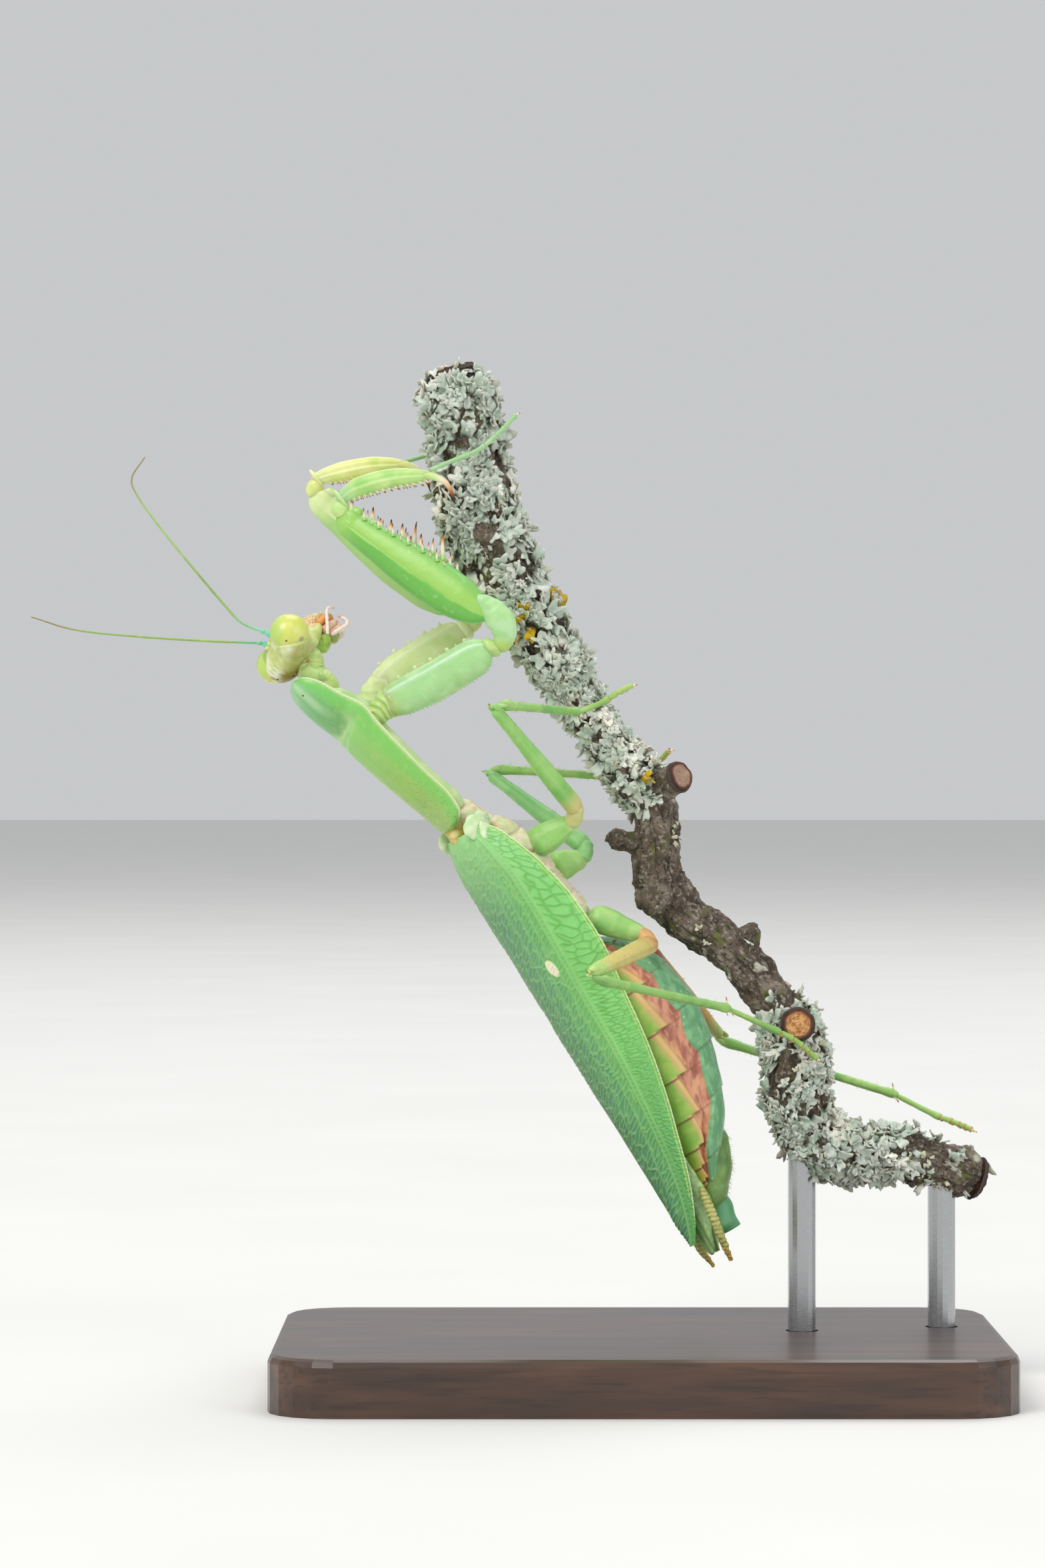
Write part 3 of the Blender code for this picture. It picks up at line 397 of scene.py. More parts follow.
class Shape:
    """Collects the points, faces and marks of one piece of the model."""

    def __init__(self):
        self.points, self.faces, self.marks, self.uv, self.count = [], [], [], [], 0

    def add(self, points, faces, uv=None, **marks):
        points = np.asarray(points, float).reshape(-1, 3)
        self.points.append(points)
        self.faces += [np.asarray(f) + self.count for f in faces]
        columns = [np.broadcast_to(np.ravel(marks.get(m, 0.0)), len(points)) for m in MARKS]
        self.marks.append(np.stack(columns, 1))
        self.uv.append(np.zeros((len(points), 2)) if uv is None else uv)
        self.count += len(points)

    def grid(self, grid, **marks):
        """Adds the surface through rings of points, with a fan of faces at either end."""
        rows, columns = grid.shape[:2]
        number = np.arange(rows * columns).reshape(rows, columns)
        after = np.roll(number, -1, 1)
        faces = [np.stack([number[:-1], after[:-1], after[1:], number[1:]], -1).reshape(-1, 4)]
        values = {m: np.broadcast_to(marks.get(m, 0.0), (rows, columns)) for m in MARKS}
        for end, ring in ((0, number[0]), (1, number[-1][::-1])):
            faces.append(np.stack([ring, np.full(columns, rows * columns + end), np.roll(ring, -1)], -1))
        self.add(np.concatenate([grid.reshape(-1, 3), grid[[0, -1]].mean(axis=1)]), faces,
                 **{m: np.concatenate([v.reshape(-1), v[[0, -1]].mean(axis=1)]) for m, v in values.items()})

    def build(self, name, finish, replaces=(), mapped=False):
        """Makes the object, hangs it on the root, and hides the imported parts that it replaces. A mapped one
        gets the map of its tufts, and keeps its faces as they were turned."""
        mesh = bpy.data.meshes.new(name)
        points = np.concatenate(self.points) * MM
        faces = [face for group in self.faces for face in np.atleast_2d(group).tolist()]
        mesh.from_pydata(points, [], faces)
        work = bmesh.new()
        work.from_mesh(mesh)
        if not mapped:
            bmesh.ops.recalc_face_normals(work, faces=work.faces)
        work.to_mesh(mesh)
        work.free()
        values = np.concatenate(self.marks)
        for i, mark in enumerate(MARKS):
            made = mesh.attributes.new(mark, "FLOAT", "POINT")
            made.data.foreach_set("value", values[:, i].astype(np.float32))
        if mapped:
            corners = np.empty(len(mesh.loops), np.int32)
            mesh.loops.foreach_get("vertex_index", corners)
            layer = mesh.uv_layers.new(name="OFBake")
            layer.data.foreach_set("uv", np.concatenate(self.uv)[corners].astype(np.float32).reshape(-1))
        mesh.shade_smooth()
        obj = bpy.data.objects.new(name, mesh)
        bpy.context.scene.collection.objects.link(obj)
        mesh.materials.append(finish)
        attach(obj, "root")
        if replaces:
            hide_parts(*replaces)


FINE_POINTS = 200            # on a limb's middle line, to measure it
LONGEST_END = 0.3            # of a limb, as a share of its length
END_RINGS = 7                # that round an end off


class Limb:
    """The surface of a limb along points, as a grid of rings. profile holds pairs of (share of
    the length, half-height), flat is the half-width's share of it, and broad the direction of
    the height. Both ends are rounded, and reach over the given lengths past the points."""

    def __init__(self, points, profile, sides=32, rows=60, broad=None, flat=1.0, reach=(0.3, 0.3)):
        points = np.asarray(points, float)
        fine = spline(points, np.linspace(0, len(points) - 1, FINE_POINTS))
        lengths = np.concatenate([[0], np.cumsum(np.linalg.norm(np.diff(fine, axis=0), axis=1))])
        total = lengths[-1]
        shares, halves = zip(*profile)
        low, high = -reach[0] / total, 1 + reach[1] / total
        ends = (min(halves[0] / total, LONGEST_END), min(halves[-1] / total, LONGEST_END))
        turn = np.linspace(0.12, math.pi / 2, END_RINGS)
        start = low + ends[0] * (1 - np.cos(turn))
        finish = high - ends[1] * (1 - np.cos(turn[::-1]))
        share = np.concatenate([start, np.linspace(start[-1], finish[0], rows)[1:-1], finish])
        round_off = np.concatenate([np.sin(turn), np.ones(rows - 2), np.sin(turn[::-1])])
        half = ease(np.clip(share, 0, 1), shares, halves) * round_off
        centre = np.stack([np.interp(share * total, lengths, fine[:, k]) for k in range(3)], 1)
        centre += unit(fine[1] - fine[0]) * (np.minimum(share, 0) * total)[:, None]
        centre += unit(fine[-1] - fine[-2]) * (np.maximum(share - 1, 0) * total)[:, None]
        ahead = unit(np.gradient(centre, axis=0))
        if broad is None:
            side = [unit(np.cross(ahead[0], (0.0, 1.0, 0.0)))]
            for direction in ahead[1:]:
                side.append(unit(side[-1] - direction * np.dot(side[-1], direction)))
            side = np.array(side)
        else:
            side = unit(np.cross(ahead, unit(broad)))
        up = np.cross(side, ahead)
        angle = circle(sides)
        self.share, self.angle, self.half, self.length = share[:, None], angle[None, :], half, total
        self.centre, self.side, self.up, self.ahead = centre, side, up, ahead
        self.grid = rings(centre, side, up, half, angle, flat)
        self.normal = grid_normals(self.grid)

    def swell(self, amount):
        """Moves the surface outwards by amount, an array of rows by columns."""
        self.grid = self.grid + self.normal * np.broadcast_to(amount, self.grid.shape[:2])[..., None]
        self.normal = grid_normals(self.grid)

    def spot(self, share, angle):
        """The point and the normal of the surface at this share of the length and this angle."""
        row = int(np.argmin(np.abs(self.share[:, 0] - share)))
        column = int(np.argmin(np.abs((self.angle[0] - angle + math.pi) % (2 * math.pi) - math.pi)))
        return self.grid[row, column], self.normal[row, column]

    def put(self, shape, **marks):
        marks.setdefault("along", np.clip(self.share, 0, 1))
        marks.setdefault("across", np.cos(self.angle))
        shape.grid(self.grid, **marks)


THIRD_TURN = 2.0944
HAIR_RINGS = ((-0.05, 0.02), (0.5, 0.015), (1.0, 0.005))     # share of the length, and radius
HAIRY = (0.08, 0.94)                                         # stretch of a surface with hairs
# Hairs, seed and length for each hairy surface
HAIRS = {"chest": (300, 91, 0.55), "tail": (420, 92, 0.45), "thigh": (70, 93, 0.3), "shin": (120, 94, 0.35)}
MAP_PATCH = (0.003, 0.0015)                                  # size of a hair or lobe on its map


def map_place(along, across):
    """The place on its piece's map for a hair or lobe standing at these shares of the surface."""
    return join(along, across) * 0.98 + 0.01


def add_hairs(shape, grid, kind):
    """Fine hairs on a surface given as rows of points, leaning along the surface."""
    count, seed, length = HAIRS[kind]
    rng = np.random.default_rng(seed)
    rows, columns = grid.shape[:2]
    run, turn = np.gradient(grid, axis=0), np.gradient(grid, axis=1)
    normal = unit(np.cross(run, turn))
    outwards = grid - grid.mean(axis=1, keepdims=True)
    normal = normal * np.sign((normal * outwards).sum(-1, keepdims=True))
    row = rng.integers(int(rows * HAIRY[0]), int(rows * HAIRY[1]), count)
    column = rng.integers(0, columns, count)
    foot, out = grid[row, column], normal[row, column]
    aim = unit(out + unit(run[row, column]) * 0.5 + rng.normal(0, 0.12, (count, 3)))
    side = unit(np.cross(aim, run[row, column]))
    other = np.cross(aim, side)
    long = (length * rng.uniform(0.6, 1.2, count))[:, None]
    spot = map_place(row / rows, column / columns)
    points, uv = [], []
    for share, radius in HAIR_RINGS:
        for k in range(3):
            turned = side * math.cos(THIRD_TURN * k) + other * math.sin(THIRD_TURN * k)
            points.append(foot + aim * share * long + turned * radius)
            uv.append(spot + ((share - 0.5) * MAP_PATCH[0], (k - 1) * MAP_PATCH[1]))
    quads = np.array([(i + k, i + (k + 1) % 3, i + 3 + (k + 1) % 3, i + 3 + k)
                      for i in (0, 3) for k in range(3)])
    offset = np.arange(count)[:, None, None] * 9
    shape.add(np.stack(points, 1), [(quads + offset).reshape(-1, 4),
                                    (np.array([(2, 1, 0), (6, 7, 8)]) + offset).reshape(-1, 3)],
              uv=np.stack(uv, 1).reshape(-1, 2))


def thorn(shape, foot, tip, radius, bend=(0, 0, 0), flare=1.5, sides=10, rows=9):
    """A thorn with a flared foot and a slightly blunt end. Its mark tip runs from 0 to 1."""
    foot, tip = np.asarray(foot, float), np.asarray(tip, float)
    t = np.linspace(0, 1, rows)
    path = foot + (tip - foot) * t[:, None] + np.asarray(bend, float) * (t * (1 - t) * 4)[:, None]
    size = (radius * (BLUNT + (1 - BLUNT) * (1 - t) ** 0.85)
            * (1 + (flare - 1) * (1 - np.minimum(t * 5, 1)) ** 2))
    ahead = unit(np.gradient(path, axis=0))
    side = unit(np.cross(ahead, unit(np.cross(tip - foot, (0.31, 0.52, 0.79)))))
    shape.grid(rings(path, side, np.cross(side, ahead), size, circle(sides)), tip=t[:, None], along=1.0)


def ball(shape, centre, axes, sizes, rows=24, sides=32, rough=None, **marks):
    """An ellipsoid with half-sizes along three axes, its poles on the last one. rough holds the
    size, seed, octaves and height of the noise on it."""
    local = globe(rows, sides, 0.06)
    grid = np.asarray(centre) + (local * np.array(sizes)) @ np.array(axes)
    if rough:
        *kind, height = rough
        grid = grid + unit(local @ np.array(axes)) * (noise(grid, *kind) * height)[..., None]
    shape.grid(grid, **marks)


# ---------------------------------------------------------------- materials

def rgb(*colour):
    """A screen colour from 0 to 255 as the linear values that a shader takes."""
    share = np.array(colour) / 255
    linear = np.where(share <= 0.04045, share / 12.92, ((share + 0.055) / 1.055) ** 2.4)
    return (*(float(c) for c in linear), 1.0)


class Finish:
    """A Principled material put together from a few kinds of node. Sizes are millimetres."""

    def __init__(self, name, roughness=0.42, **sockets):
        self.material = bpy.data.materials.new(name)
        self.material.use_nodes = True
        self.tree = self.material.node_tree
        self.shader = self.tree.nodes["Principled BSDF"]
        self.shader.inputs["Roughness"].default_value = roughness
        for socket, value in sockets.items():
            self.shader.inputs[socket.replace("_", " ")].default_value = value
        self.place = self.node("ShaderNodeTexCoord").outputs["Object"]
        self.colour = None

    def node(self, kind, links=None, **settings):
        made = self.tree.nodes.new(kind)
        for setting, value in settings.items():
            setattr(made, setting, value)
        for socket, value in (links or {}).items():
            if isinstance(value, bpy.types.NodeSocket):
                self.tree.links.new(value, made.inputs[socket])
            else:
                made.inputs[socket].default_value = value
        return made

    def mark(self, name):
        return self.node("ShaderNodeAttribute", attribute_name=name).outputs["Fac"]

    def noise(self, size, detail=3.0, stretch=None, distortion=0.0):
        place = self.place
        if stretch:
            place = self.node("ShaderNodeMapping", {"Vector": place, "Scale": stretch}).outputs[0]
        return self.node("ShaderNodeTexNoise", {"Vector": place, "Scale": 1 / (size * MM), "Detail": detail,
                                                "Distortion": distortion}).outputs["Fac"]

    def cells(self, size):
        return self.node("ShaderNodeTexVoronoi",
                         {"Vector": self.place, "Scale": 1 / (size * MM)}).outputs["Distance"]

    def maths(self, operation, a, b=0.0):
        return self.node("ShaderNodeMath", {0: a, 1: b}, operation=operation).outputs[0]

    def between(self, value, low, high):
        return self.node("ShaderNodeMapRange", {"Value": value, "From Min": low, "From Max": high},
                         interpolation_type="SMOOTHSTEP").outputs["Result"]

    def patches(self, low, high, *cloud, **more):
        """0 where the noise that the rest describes is under low, 1 where it is over high."""
        return self.between(self.noise(*cloud, **more), low, high)

    def uneven(self, value, cloud, share, middle=0.5):
        """value with a share of a cloud added, so that borders along it waver."""
        if middle:
            cloud = self.maths("SUBTRACT", cloud, middle)
        return self.maths("ADD", value, self.maths("MULTIPLY", cloud, share))

    def grain(self, fine, coarse, share, details=(2.0, 3.0)):
        """Relief of two sizes, the coarse one taken share times."""
        return self.maths("ADD", self.noise(fine, details[0]),
                          self.maths("MULTIPLY", self.noise(coarse, details[1]), share))

    def ramp(self, value, *stops):
        made = self.node("ShaderNodeValToRGB", {"Fac": value})
        stock = made.color_ramp.elements
        while len(stock) > 1:
            stock.remove(stock[-1])
        for i, (position, colour) in enumerate(stops):
            stop = stock[0] if i == 0 else stock.new(position)
            stop.position = position
            stop.color = rgb(*colour)
        return made.outputs["Color"]

    def blend(self, amount, a, b):
        made = self.node("ShaderNodeMix", {"Factor": amount}, data_type="RGBA")
        for socket, value in ((made.inputs[6], a), (made.inputs[7], b)):
            if isinstance(value, bpy.types.NodeSocket):
                self.tree.links.new(value, socket)
            else:
                socket.default_value = rgb(*value)
        return made.outputs[2]

    def mottle(self, value, low, high, a, b):
        """Colour a where value is under low, b where it is over high."""
        return self.blend(self.between(value, low, high), a, b)

    def lay(self, colour, amount, share=None):
        """Lays a colour over the material's own where amount says so, at most by share."""
        if share is not None:
            amount = self.maths("MULTIPLY", amount, share)
        self.colour = self.blend(amount, self.colour, colour)

    def done(self, relief, depth, roughness=None):
        """Links the colour, the bump (its depth in millimetres) and the roughness."""
        self.tree.links.new(self.colour, self.shader.inputs["Base Color"])
        bump = self.node("ShaderNodeBump", {"Height": relief, "Distance": depth * MM, "Strength": 1.0})
        self.tree.links.new(bump.outputs[0], self.shader.inputs["Normal"])
        if roughness is not None:
            self.tree.links.new(roughness, self.shader.inputs["Roughness"])
        return self.material


SOFT = {"Subsurface_Weight": 0.25, "Subsurface_Scale": 0.0006, "Subsurface_Radius": (0.6, 1.0, 0.35)}
THORN_TIPS = ((0.0, (190, 225, 150)), (0.35, (240, 228, 205)), (0.55, (232, 190, 140)), (0.72, (170, 85, 25)),
              (0.88, (40, 20, 14)))
FEMUR_THORN_TIPS = ((0.0, (140, 205, 150)), (0.3, (226, 228, 200)), (0.52, (240, 214, 186)),
                    (0.7, (214, 130, 50)), (0.85, (40, 20, 14)), (1.0, (16, 14, 26)))


def cuticle(name, base, light, dark, edge=None, foot=None, end=None, roughness=0.42, spots=None):
    """Smooth insect skin: mottled between light and dark, with optional colours along its
    edges, at its foot and at its end, and thorn colours by the mark tip."""
    f = Finish(name, roughness, **SOFT)
    cloud = f.noise(2.4, distortion=0.6)
    f.colour = f.mottle(cloud, 0.42, 0.7, base, light)
    f.lay(dark, f.patches(0.5, 0.75, 3.7, 2.0))
    along, tip = f.uneven(f.mark("along"), cloud, 0.1, 0.0), f.mark("tip")
    if foot:
        f.lay(foot, f.between(along, 0.27, 0.06))
    if end:
        f.lay(end, f.between(along, 0.78, 1.0))
    if edge:
        f.lay(edge, f.mark("vein"))
    if spots:
        f.lay(spots, f.between(f.cells(0.5), 0.2, 0.1), 0.6)
    f.lay(f.ramp(tip, *THORN_TIPS), f.between(tip, 0.1, 0.4))
    return f.done(f.grain(0.12, 0.6, 1.5), 0.012)


def femur_finish(name, base, light, dark, rim):
    """Grasping thigh: pale in the middle of its flat side, a darker band below, a blue-green
    back edge."""
    f = Finish(name, 0.38, **SOFT)
    cloud = f.noise(2.6, distortion=0.5)
    bent, tip = f.uneven(f.mark("across"), cloud, 0.25), f.mark("tip")
    f.colour = f.mottle(bent, -0.38, -0.24, dark, light)
    f.lay(base, f.between(bent, 0.25, 0.75), 0.75)
    f.lay(light, f.between(f.uneven(f.mark("along"), cloud, 0.12, 0.0), 0.86, 1.05))
    f.lay((190, 226, 160), f.patches(0.62, 0.7, 1.1, 4.0, distortion=2.0), 0.3)
    f.lay(rim, f.mark("vein"))
    f.lay(f.ramp(tip, *FEMUR_THORN_TIPS), f.between(tip, 0.05, 0.35))
    return f.done(f.grain(0.12, 0.7, 1.5), 0.012)


def wing_finish():
    """Leathery green of the fore wings. across runs from the fold line (0) to the front margin (1)
    and down to the inner edge (-1)."""
    f = Finish("wing_leather", 0.44, **SOFT)
    across, along, tip = f.mark("across"), f.mark("along"), f.mark("tip")
    bent = f.uneven(across, f.noise(1.6), 0.18)
    f.colour = f.ramp(f.maths("MULTIPLY", f.maths("ADD", bent, 1.0), 0.5),
                      (0.0, (86, 136, 108)), (0.27, (96, 150, 120)), (0.37, (104, 170, 120)),
                      (0.45, (116, 190, 108)), (0.55, (134, 208, 116)), (0.92, (138, 212, 120)))
    f.lay((84, 152, 110), f.between(along, 0.5, 1.0), 0.6)
    f.lay((156, 214, 142), f.between(along, 0.22, 0.0))
    f.lay((96, 176, 88), f.patches(0.45, 0.75, 0.9, 2.0), 0.3)
    # Veins are paler behind the fold line; in the front field they are darker than the cells, partly painted
    # shade along their edges
    f.lay(f.mottle(across, 0.08, 0.16, (150, 204, 120), (104, 174, 76)), f.mark("vein"), 0.75)
    f.lay((196, 226, 120), f.between(tip, 0.2, 0.45), 0.8)
    f.lay((240, 238, 206), f.between(tip, 0.6, 0.9))
    return f.done(f.grain(0.1, 0.5, 2.0, (2.0, 2.0)), 0.014)


def hindwing_finish():
    f = Finish("hindwing_film", 0.34, Coat_Weight=0.25)
    f.colour = f.blend(f.noise(1.2, 2.0), (190, 218, 150), (158, 200, 130))
    f.lay((118, 164, 88), f.mark("vein"), 0.7)
    return f.done(f.noise(0.15, 2.0), 0.01)


def pronotum_finish():
    f = Finish("pronotum_shell", 0.36, **SOFT)
    along, across = f.mark("along"), f.mark("across")
    f.colour = f.ramp(f.uneven(along, f.noise(1.8, distortion=0.5), 0.12),
                      (0.0, (154, 204, 150)), (0.16, (126, 190, 126)), (0.28, (118, 182, 104)),
                      (0.32, (176, 218, 146)), (0.38, (146, 206, 112)), (0.7, (156, 200, 98)),
                      (1.0, (162, 192, 112)))
    # Painted highlight: a paler patch on the right half of the front lobe of the pronotum
    painted_highlight = f.maths("MULTIPLY", f.between(across, 0.05, 0.3), f.between(across, 0.62, 0.4))
    f.lay((172, 214, 162), painted_highlight, f.between(along, 0.3, 0.12))
    f.lay((122, 198, 92), f.between(across, 0.5, 0.85), 0.75)
    f.lay((190, 214, 130), f.patches(0.5, 0.72, 0.8), 0.25)
    f.lay((96, 150, 60), f.patches(0.6, 0.66, 0.35, 4.0, distortion=2.0),
          f.between(along, 0.55, 0.9))
    f.lay((224, 226, 180), f.mark("vein"))
    f.lay((40, 26, 18), f.between(f.mark("tip"), 0.4, 0.8))
    return f.done(f.grain(0.14, 0.7, 1.6), 0.014)


def abdomen_finish():
    """across: 0 for the back plates, 0.5 for the folded side skin, 1 for the belly plates."""
    f = Finish("abdomen_plates", 0.44, **SOFT)
    across = f.mark("across")
    cloud = f.noise(1.3, distortion=0.4)
    belly = f.mottle(cloud, 0.4, 0.65, (112, 172, 122), (140, 198, 146))
    belly = f.blend(f.maths("MULTIPLY", f.between(f.cells(1.1), 0.22, 0.12), 0.5), belly, (196, 222, 180))
    f.colour = f.mottle(cloud, 0.4, 0.7, (140, 190, 76), (168, 202, 92))
    f.lay((208, 178, 72), f.between(f.mark("along"), 0.8, 1.0))
    f.lay(f.mottle(f.noise(0.7, 3.0, (1.0, 1.0, 0.35)), 0.35, 0.65, (172, 100, 82), (224, 160, 130)),
          f.between(across, 0.2, 0.32))
    f.lay(belly, f.between(across, 0.68, 0.8))
    f.lay((236, 186, 132), f.mark("vein"))
    f.lay((120, 60, 48), f.mark("tip"), 0.75)
    return f.done(f.grain(0.12, 0.6, 1.6), 0.016)


def thorax_finish():
    """across is 1 on the dull yellow skin of the waist, vein on reddish streaks, tip on the
    wing hinges."""
    f = Finish("thorax_skin", 0.42, **SOFT)
    cloud = f.noise(1.7, distortion=0.8)
    f.colour = f.mottle(cloud, 0.42, 0.62, (230, 220, 190), (206, 216, 160))
    f.lay((232, 176, 150), f.patches(0.54, 0.68, 1.1, 4.0, distortion=1.5), 0.6)
    f.lay(f.mottle(cloud, 0.4, 0.6, (196, 178, 84), (224, 206, 140)), f.mark("across"))
    f.lay((204, 112, 72), f.mark("vein"), 0.6)
    f.lay(f.mottle(cloud, 0.4, 0.6, (176, 222, 156), (216, 236, 196)), f.mark("tip"))
    return f.done(f.grain(0.14, 0.5, 2.0), 0.02)


def head_finish():
    """along is painted shade in olive, low on the back and strongest on the left side, across the milky
    streaks of the crown, vein the pale rims, and tip the face plate (0.45) with its white grains (1)."""
    f = Finish("head_shell", 0.34, **SOFT)
    tip = f.mark("tip")
    cloud = f.noise(1.3, distortion=0.6)
    f.colour = f.mottle(cloud, 0.35, 0.68, (186, 198, 106), (214, 222, 154))
    # Painted shade: olive where the mark along is 1, low on the back and on the left side of the head
    f.lay((146, 130, 54), f.mark("along"), f.between(cloud, 0.0, 0.4))
    f.lay((226, 232, 206), f.mark("across"), f.patches(0.1, 0.55, 0.9, 4.0, (1.0, 1.0, 2.4), 1.0))
    f.lay((214, 222, 142), f.mark("vein"))
    f.lay((226, 176, 116), f.between(tip, 0.15, 0.4))
    f.lay((232, 214, 140), f.between(tip, 0.2, 0.4), f.patches(0.55, 0.62, 0.7))
    f.lay((250, 240, 224), f.between(tip, 0.6, 0.85))
    return f.done(f.grain(0.1, 0.5, 1.5), 0.012)


def eye_finish():
    """Glossy eye. along is 1 on the side that faces the crown, across the worn patch, vein the
    rim, tip the dark spot."""
    f = Finish("eye_gloss", 0.34, Coat_Weight=0.22, Coat_Roughness=0.2, Subsurface_Weight=0.3,
               Subsurface_Scale=0.001)
    patch, tip = f.mark("across"), f.mark("tip")
    f.colour = f.mottle(f.noise(1.7, 2.0, distortion=0.4), 0.25, 0.8, (206, 212, 92), (222, 226, 122))
    f.lay((236, 238, 190), f.patches(0.4, 0.8, 1.1, 3.0, (1.0, 2.6, 1.0), 0.8), 0.3)
    f.lay((166, 208, 106), f.mark("along"), 0.6)
    f.lay((236, 212, 130), f.patches(0.6, 0.8, 2.3, 2.0, distortion=0.2), 0.5)
    f.lay((186, 160, 84), f.between(patch, 0.1, 0.5), 0.6)
    f.lay(f.blend(f.noise(0.3), (150, 130, 112), (196, 178, 164)), f.between(patch, 0.4, 0.8))
    f.lay((150, 170, 96), f.mark("vein"), 0.8)
    f.lay((226, 200, 70), f.between(tip, 0.12, 0.3))
    f.lay((22, 14, 10), f.between(tip, 0.4, 0.55))
    return f.done(f.cells(0.035), 0.002)


def mouth_finish():
    """across is 1 on the white feelers, vein the mouth cavity in maroon painted shadow, along the lip, tip
    orange.
    """
    f = Finish("mouth_parts", 0.4, **SOFT)
    tip = f.mark("tip")
    cloud = f.noise(0.9, distortion=0.6)
    f.colour = f.mottle(cloud, 0.35, 0.65, (226, 168, 122), (238, 206, 184))
    f.lay((242, 222, 214), f.between(f.mark("across"), 0.5, 0.9))
    f.lay((226, 150, 44), f.between(tip, 0.1, 0.3))
    f.lay((164, 168, 96), f.mark("along"))
    # Painted shadow: maroon in the mouth cavity between the jaws
    f.lay((106, 42, 50), f.mark("vein"), f.between(cloud, 0.0, 0.7))
    f.lay((28, 18, 12), f.between(tip, 0.6, 0.9))
    return f.done(f.noise(0.12), 0.012)


def neck_finish():
    """Folded skin of the throat (along 0) and neck (1); vein the tops of the folds, across the
    side plates, tip the orange spot above each."""
    f = Finish("neck_membrane", 0.42, **SOFT)
    cloud = f.noise(1.2, distortion=0.8)
    f.colour = f.mottle(cloud, 0.35, 0.65, (146, 180, 68), (184, 210, 106))
    f.lay(f.mottle(cloud, 0.35, 0.65, (186, 210, 120), (212, 230, 166)), f.mark("along"))
    f.lay((206, 222, 144), f.mark("vein"), 0.75)
    f.lay((194, 222, 140), f.between(f.mark("across"), 0.1, 0.4))
    f.lay((206, 146, 34), f.between(f.mark("tip"), 0.2, 0.5))
    return f.done(f.grain(0.15, 0.5, 1.0, (3.0, 3.0)), 0.03)


def bark_finish():
    """vein is 1 in the cracks."""
    f = Finish("bark", 0.9)
    f.colour = f.ramp(f.noise(3.0, 5.0, distortion=0.5), (0.3, (62, 52, 42)), (0.5, (98, 84, 70)),
                      (0.68, (140, 128, 112)))
    f.lay((156, 148, 136), f.patches(0.5, 0.7, 0.45, 5.0))
    f.lay((44, 36, 30), f.patches(0.44, 0.3, 0.3, 4.0))
    f.lay((106, 108, 62), f.patches(0.58, 0.68, 1.9, 4.0))
    f.lay((40, 33, 28), f.mark("vein"), 0.7)
    f.lay((188, 186, 168), f.patches(0.62, 0.68, 2.6, 5.0))
    return f.done(f.grain(0.3, 1.0, 2.0, (5.0, 5.0)), 0.3)


def wood_finish():
    """Cut ends of twigs. along runs from the middle of the cut (0) to its rim (1), tip is 1 on a
    greyed cut."""
    f = Finish("cut_wood", 0.85)
    along = f.mark("along")
    years = f.maths("SINE", f.maths("MULTIPLY", along, 46.0))
    f.colour = f.mottle(f.noise(0.35, 4.0), 0.35, 0.65, (176, 116, 66), (226, 176, 116))
    f.lay((132, 82, 50), f.between(years, 0.2, 1.0), 0.25)
    f.lay((158, 136, 126), f.mark("tip"), 0.75)
    for colour, low, high in (((124, 78, 56), 0.6, 0.75), ((66, 42, 32), 0.74, 0.84),
                              ((70, 62, 56), 0.9, 0.98)):
        f.lay(colour, f.between(along, low, high))
    return f.done(f.maths("ADD", f.noise(0.12, 4.0), f.maths("MULTIPLY", years, 0.25)), 0.08)


def lichen_finish(name, face, shade, rim):
    """tip runs from the root of a lobe (0), darkened there as painted shade between the lobes, to its rim
    (1); vein is 1 on its underside.
    """
    f = Finish(name, 0.86)
    tip = f.mark("tip")
    f.colour = f.mottle(f.noise(2.2), 0.38, 0.66, face, shade)
    f.lay([min(255, c + 14) for c in rim], f.patches(0.5, 0.68, 5.0, 2.0))
    # Painted shade at the roots of the lobes, where they crowd together
    f.lay([int(c * 0.55) for c in shade], f.between(tip, 0.35, 0.0))
    f.lay(rim, f.between(tip, 0.8, 1.0), 0.8)
    f.lay((168, 162, 140), f.mark("vein"), 0.6)
    return f.done(f.grain(0.12, 0.4, 1.5, (3.0, 3.0)), 0.05)


def hair_finish():
    f = Finish("setae", 0.5)
    f.colour = f.blend(f.noise(1.0, 2.0), (226, 222, 190), (170, 160, 120))
    return f.done(f.noise(0.05, 2.0), 0.002)


def stand_wood_finish():
    f = Finish("stand_wood", 0.38, Coat_Weight=0.3, Coat_Roughness=0.2)
    fine = f.noise(0.5, 3.0, (0.06, 1.0, 1.0))
    f.colour = f.ramp(f.noise(3.0, 4.0, (0.12, 1.0, 1.0), 0.4),
                      (0.3, (44, 30, 22)), (0.55, (72, 48, 34)), (0.75, (92, 62, 44)))
    f.lay((30, 20, 14), f.between(fine, 0.5, 0.7), 0.5)
    return f.done(fine, 0.03)


def stand_steel_finish():
    f = Finish("stand_steel", 0.28, Metallic=1.0)
    brushed = f.noise(0.6, 3.0, (1.0, 1.0, 12.0))
    f.colour = f.blend(brushed, (150, 152, 154), (196, 198, 200))
    return f.done(brushed, 0.004, f.between(brushed, -0.4, 2.6))


# ---------------------------------------------------------------- trunk and wings

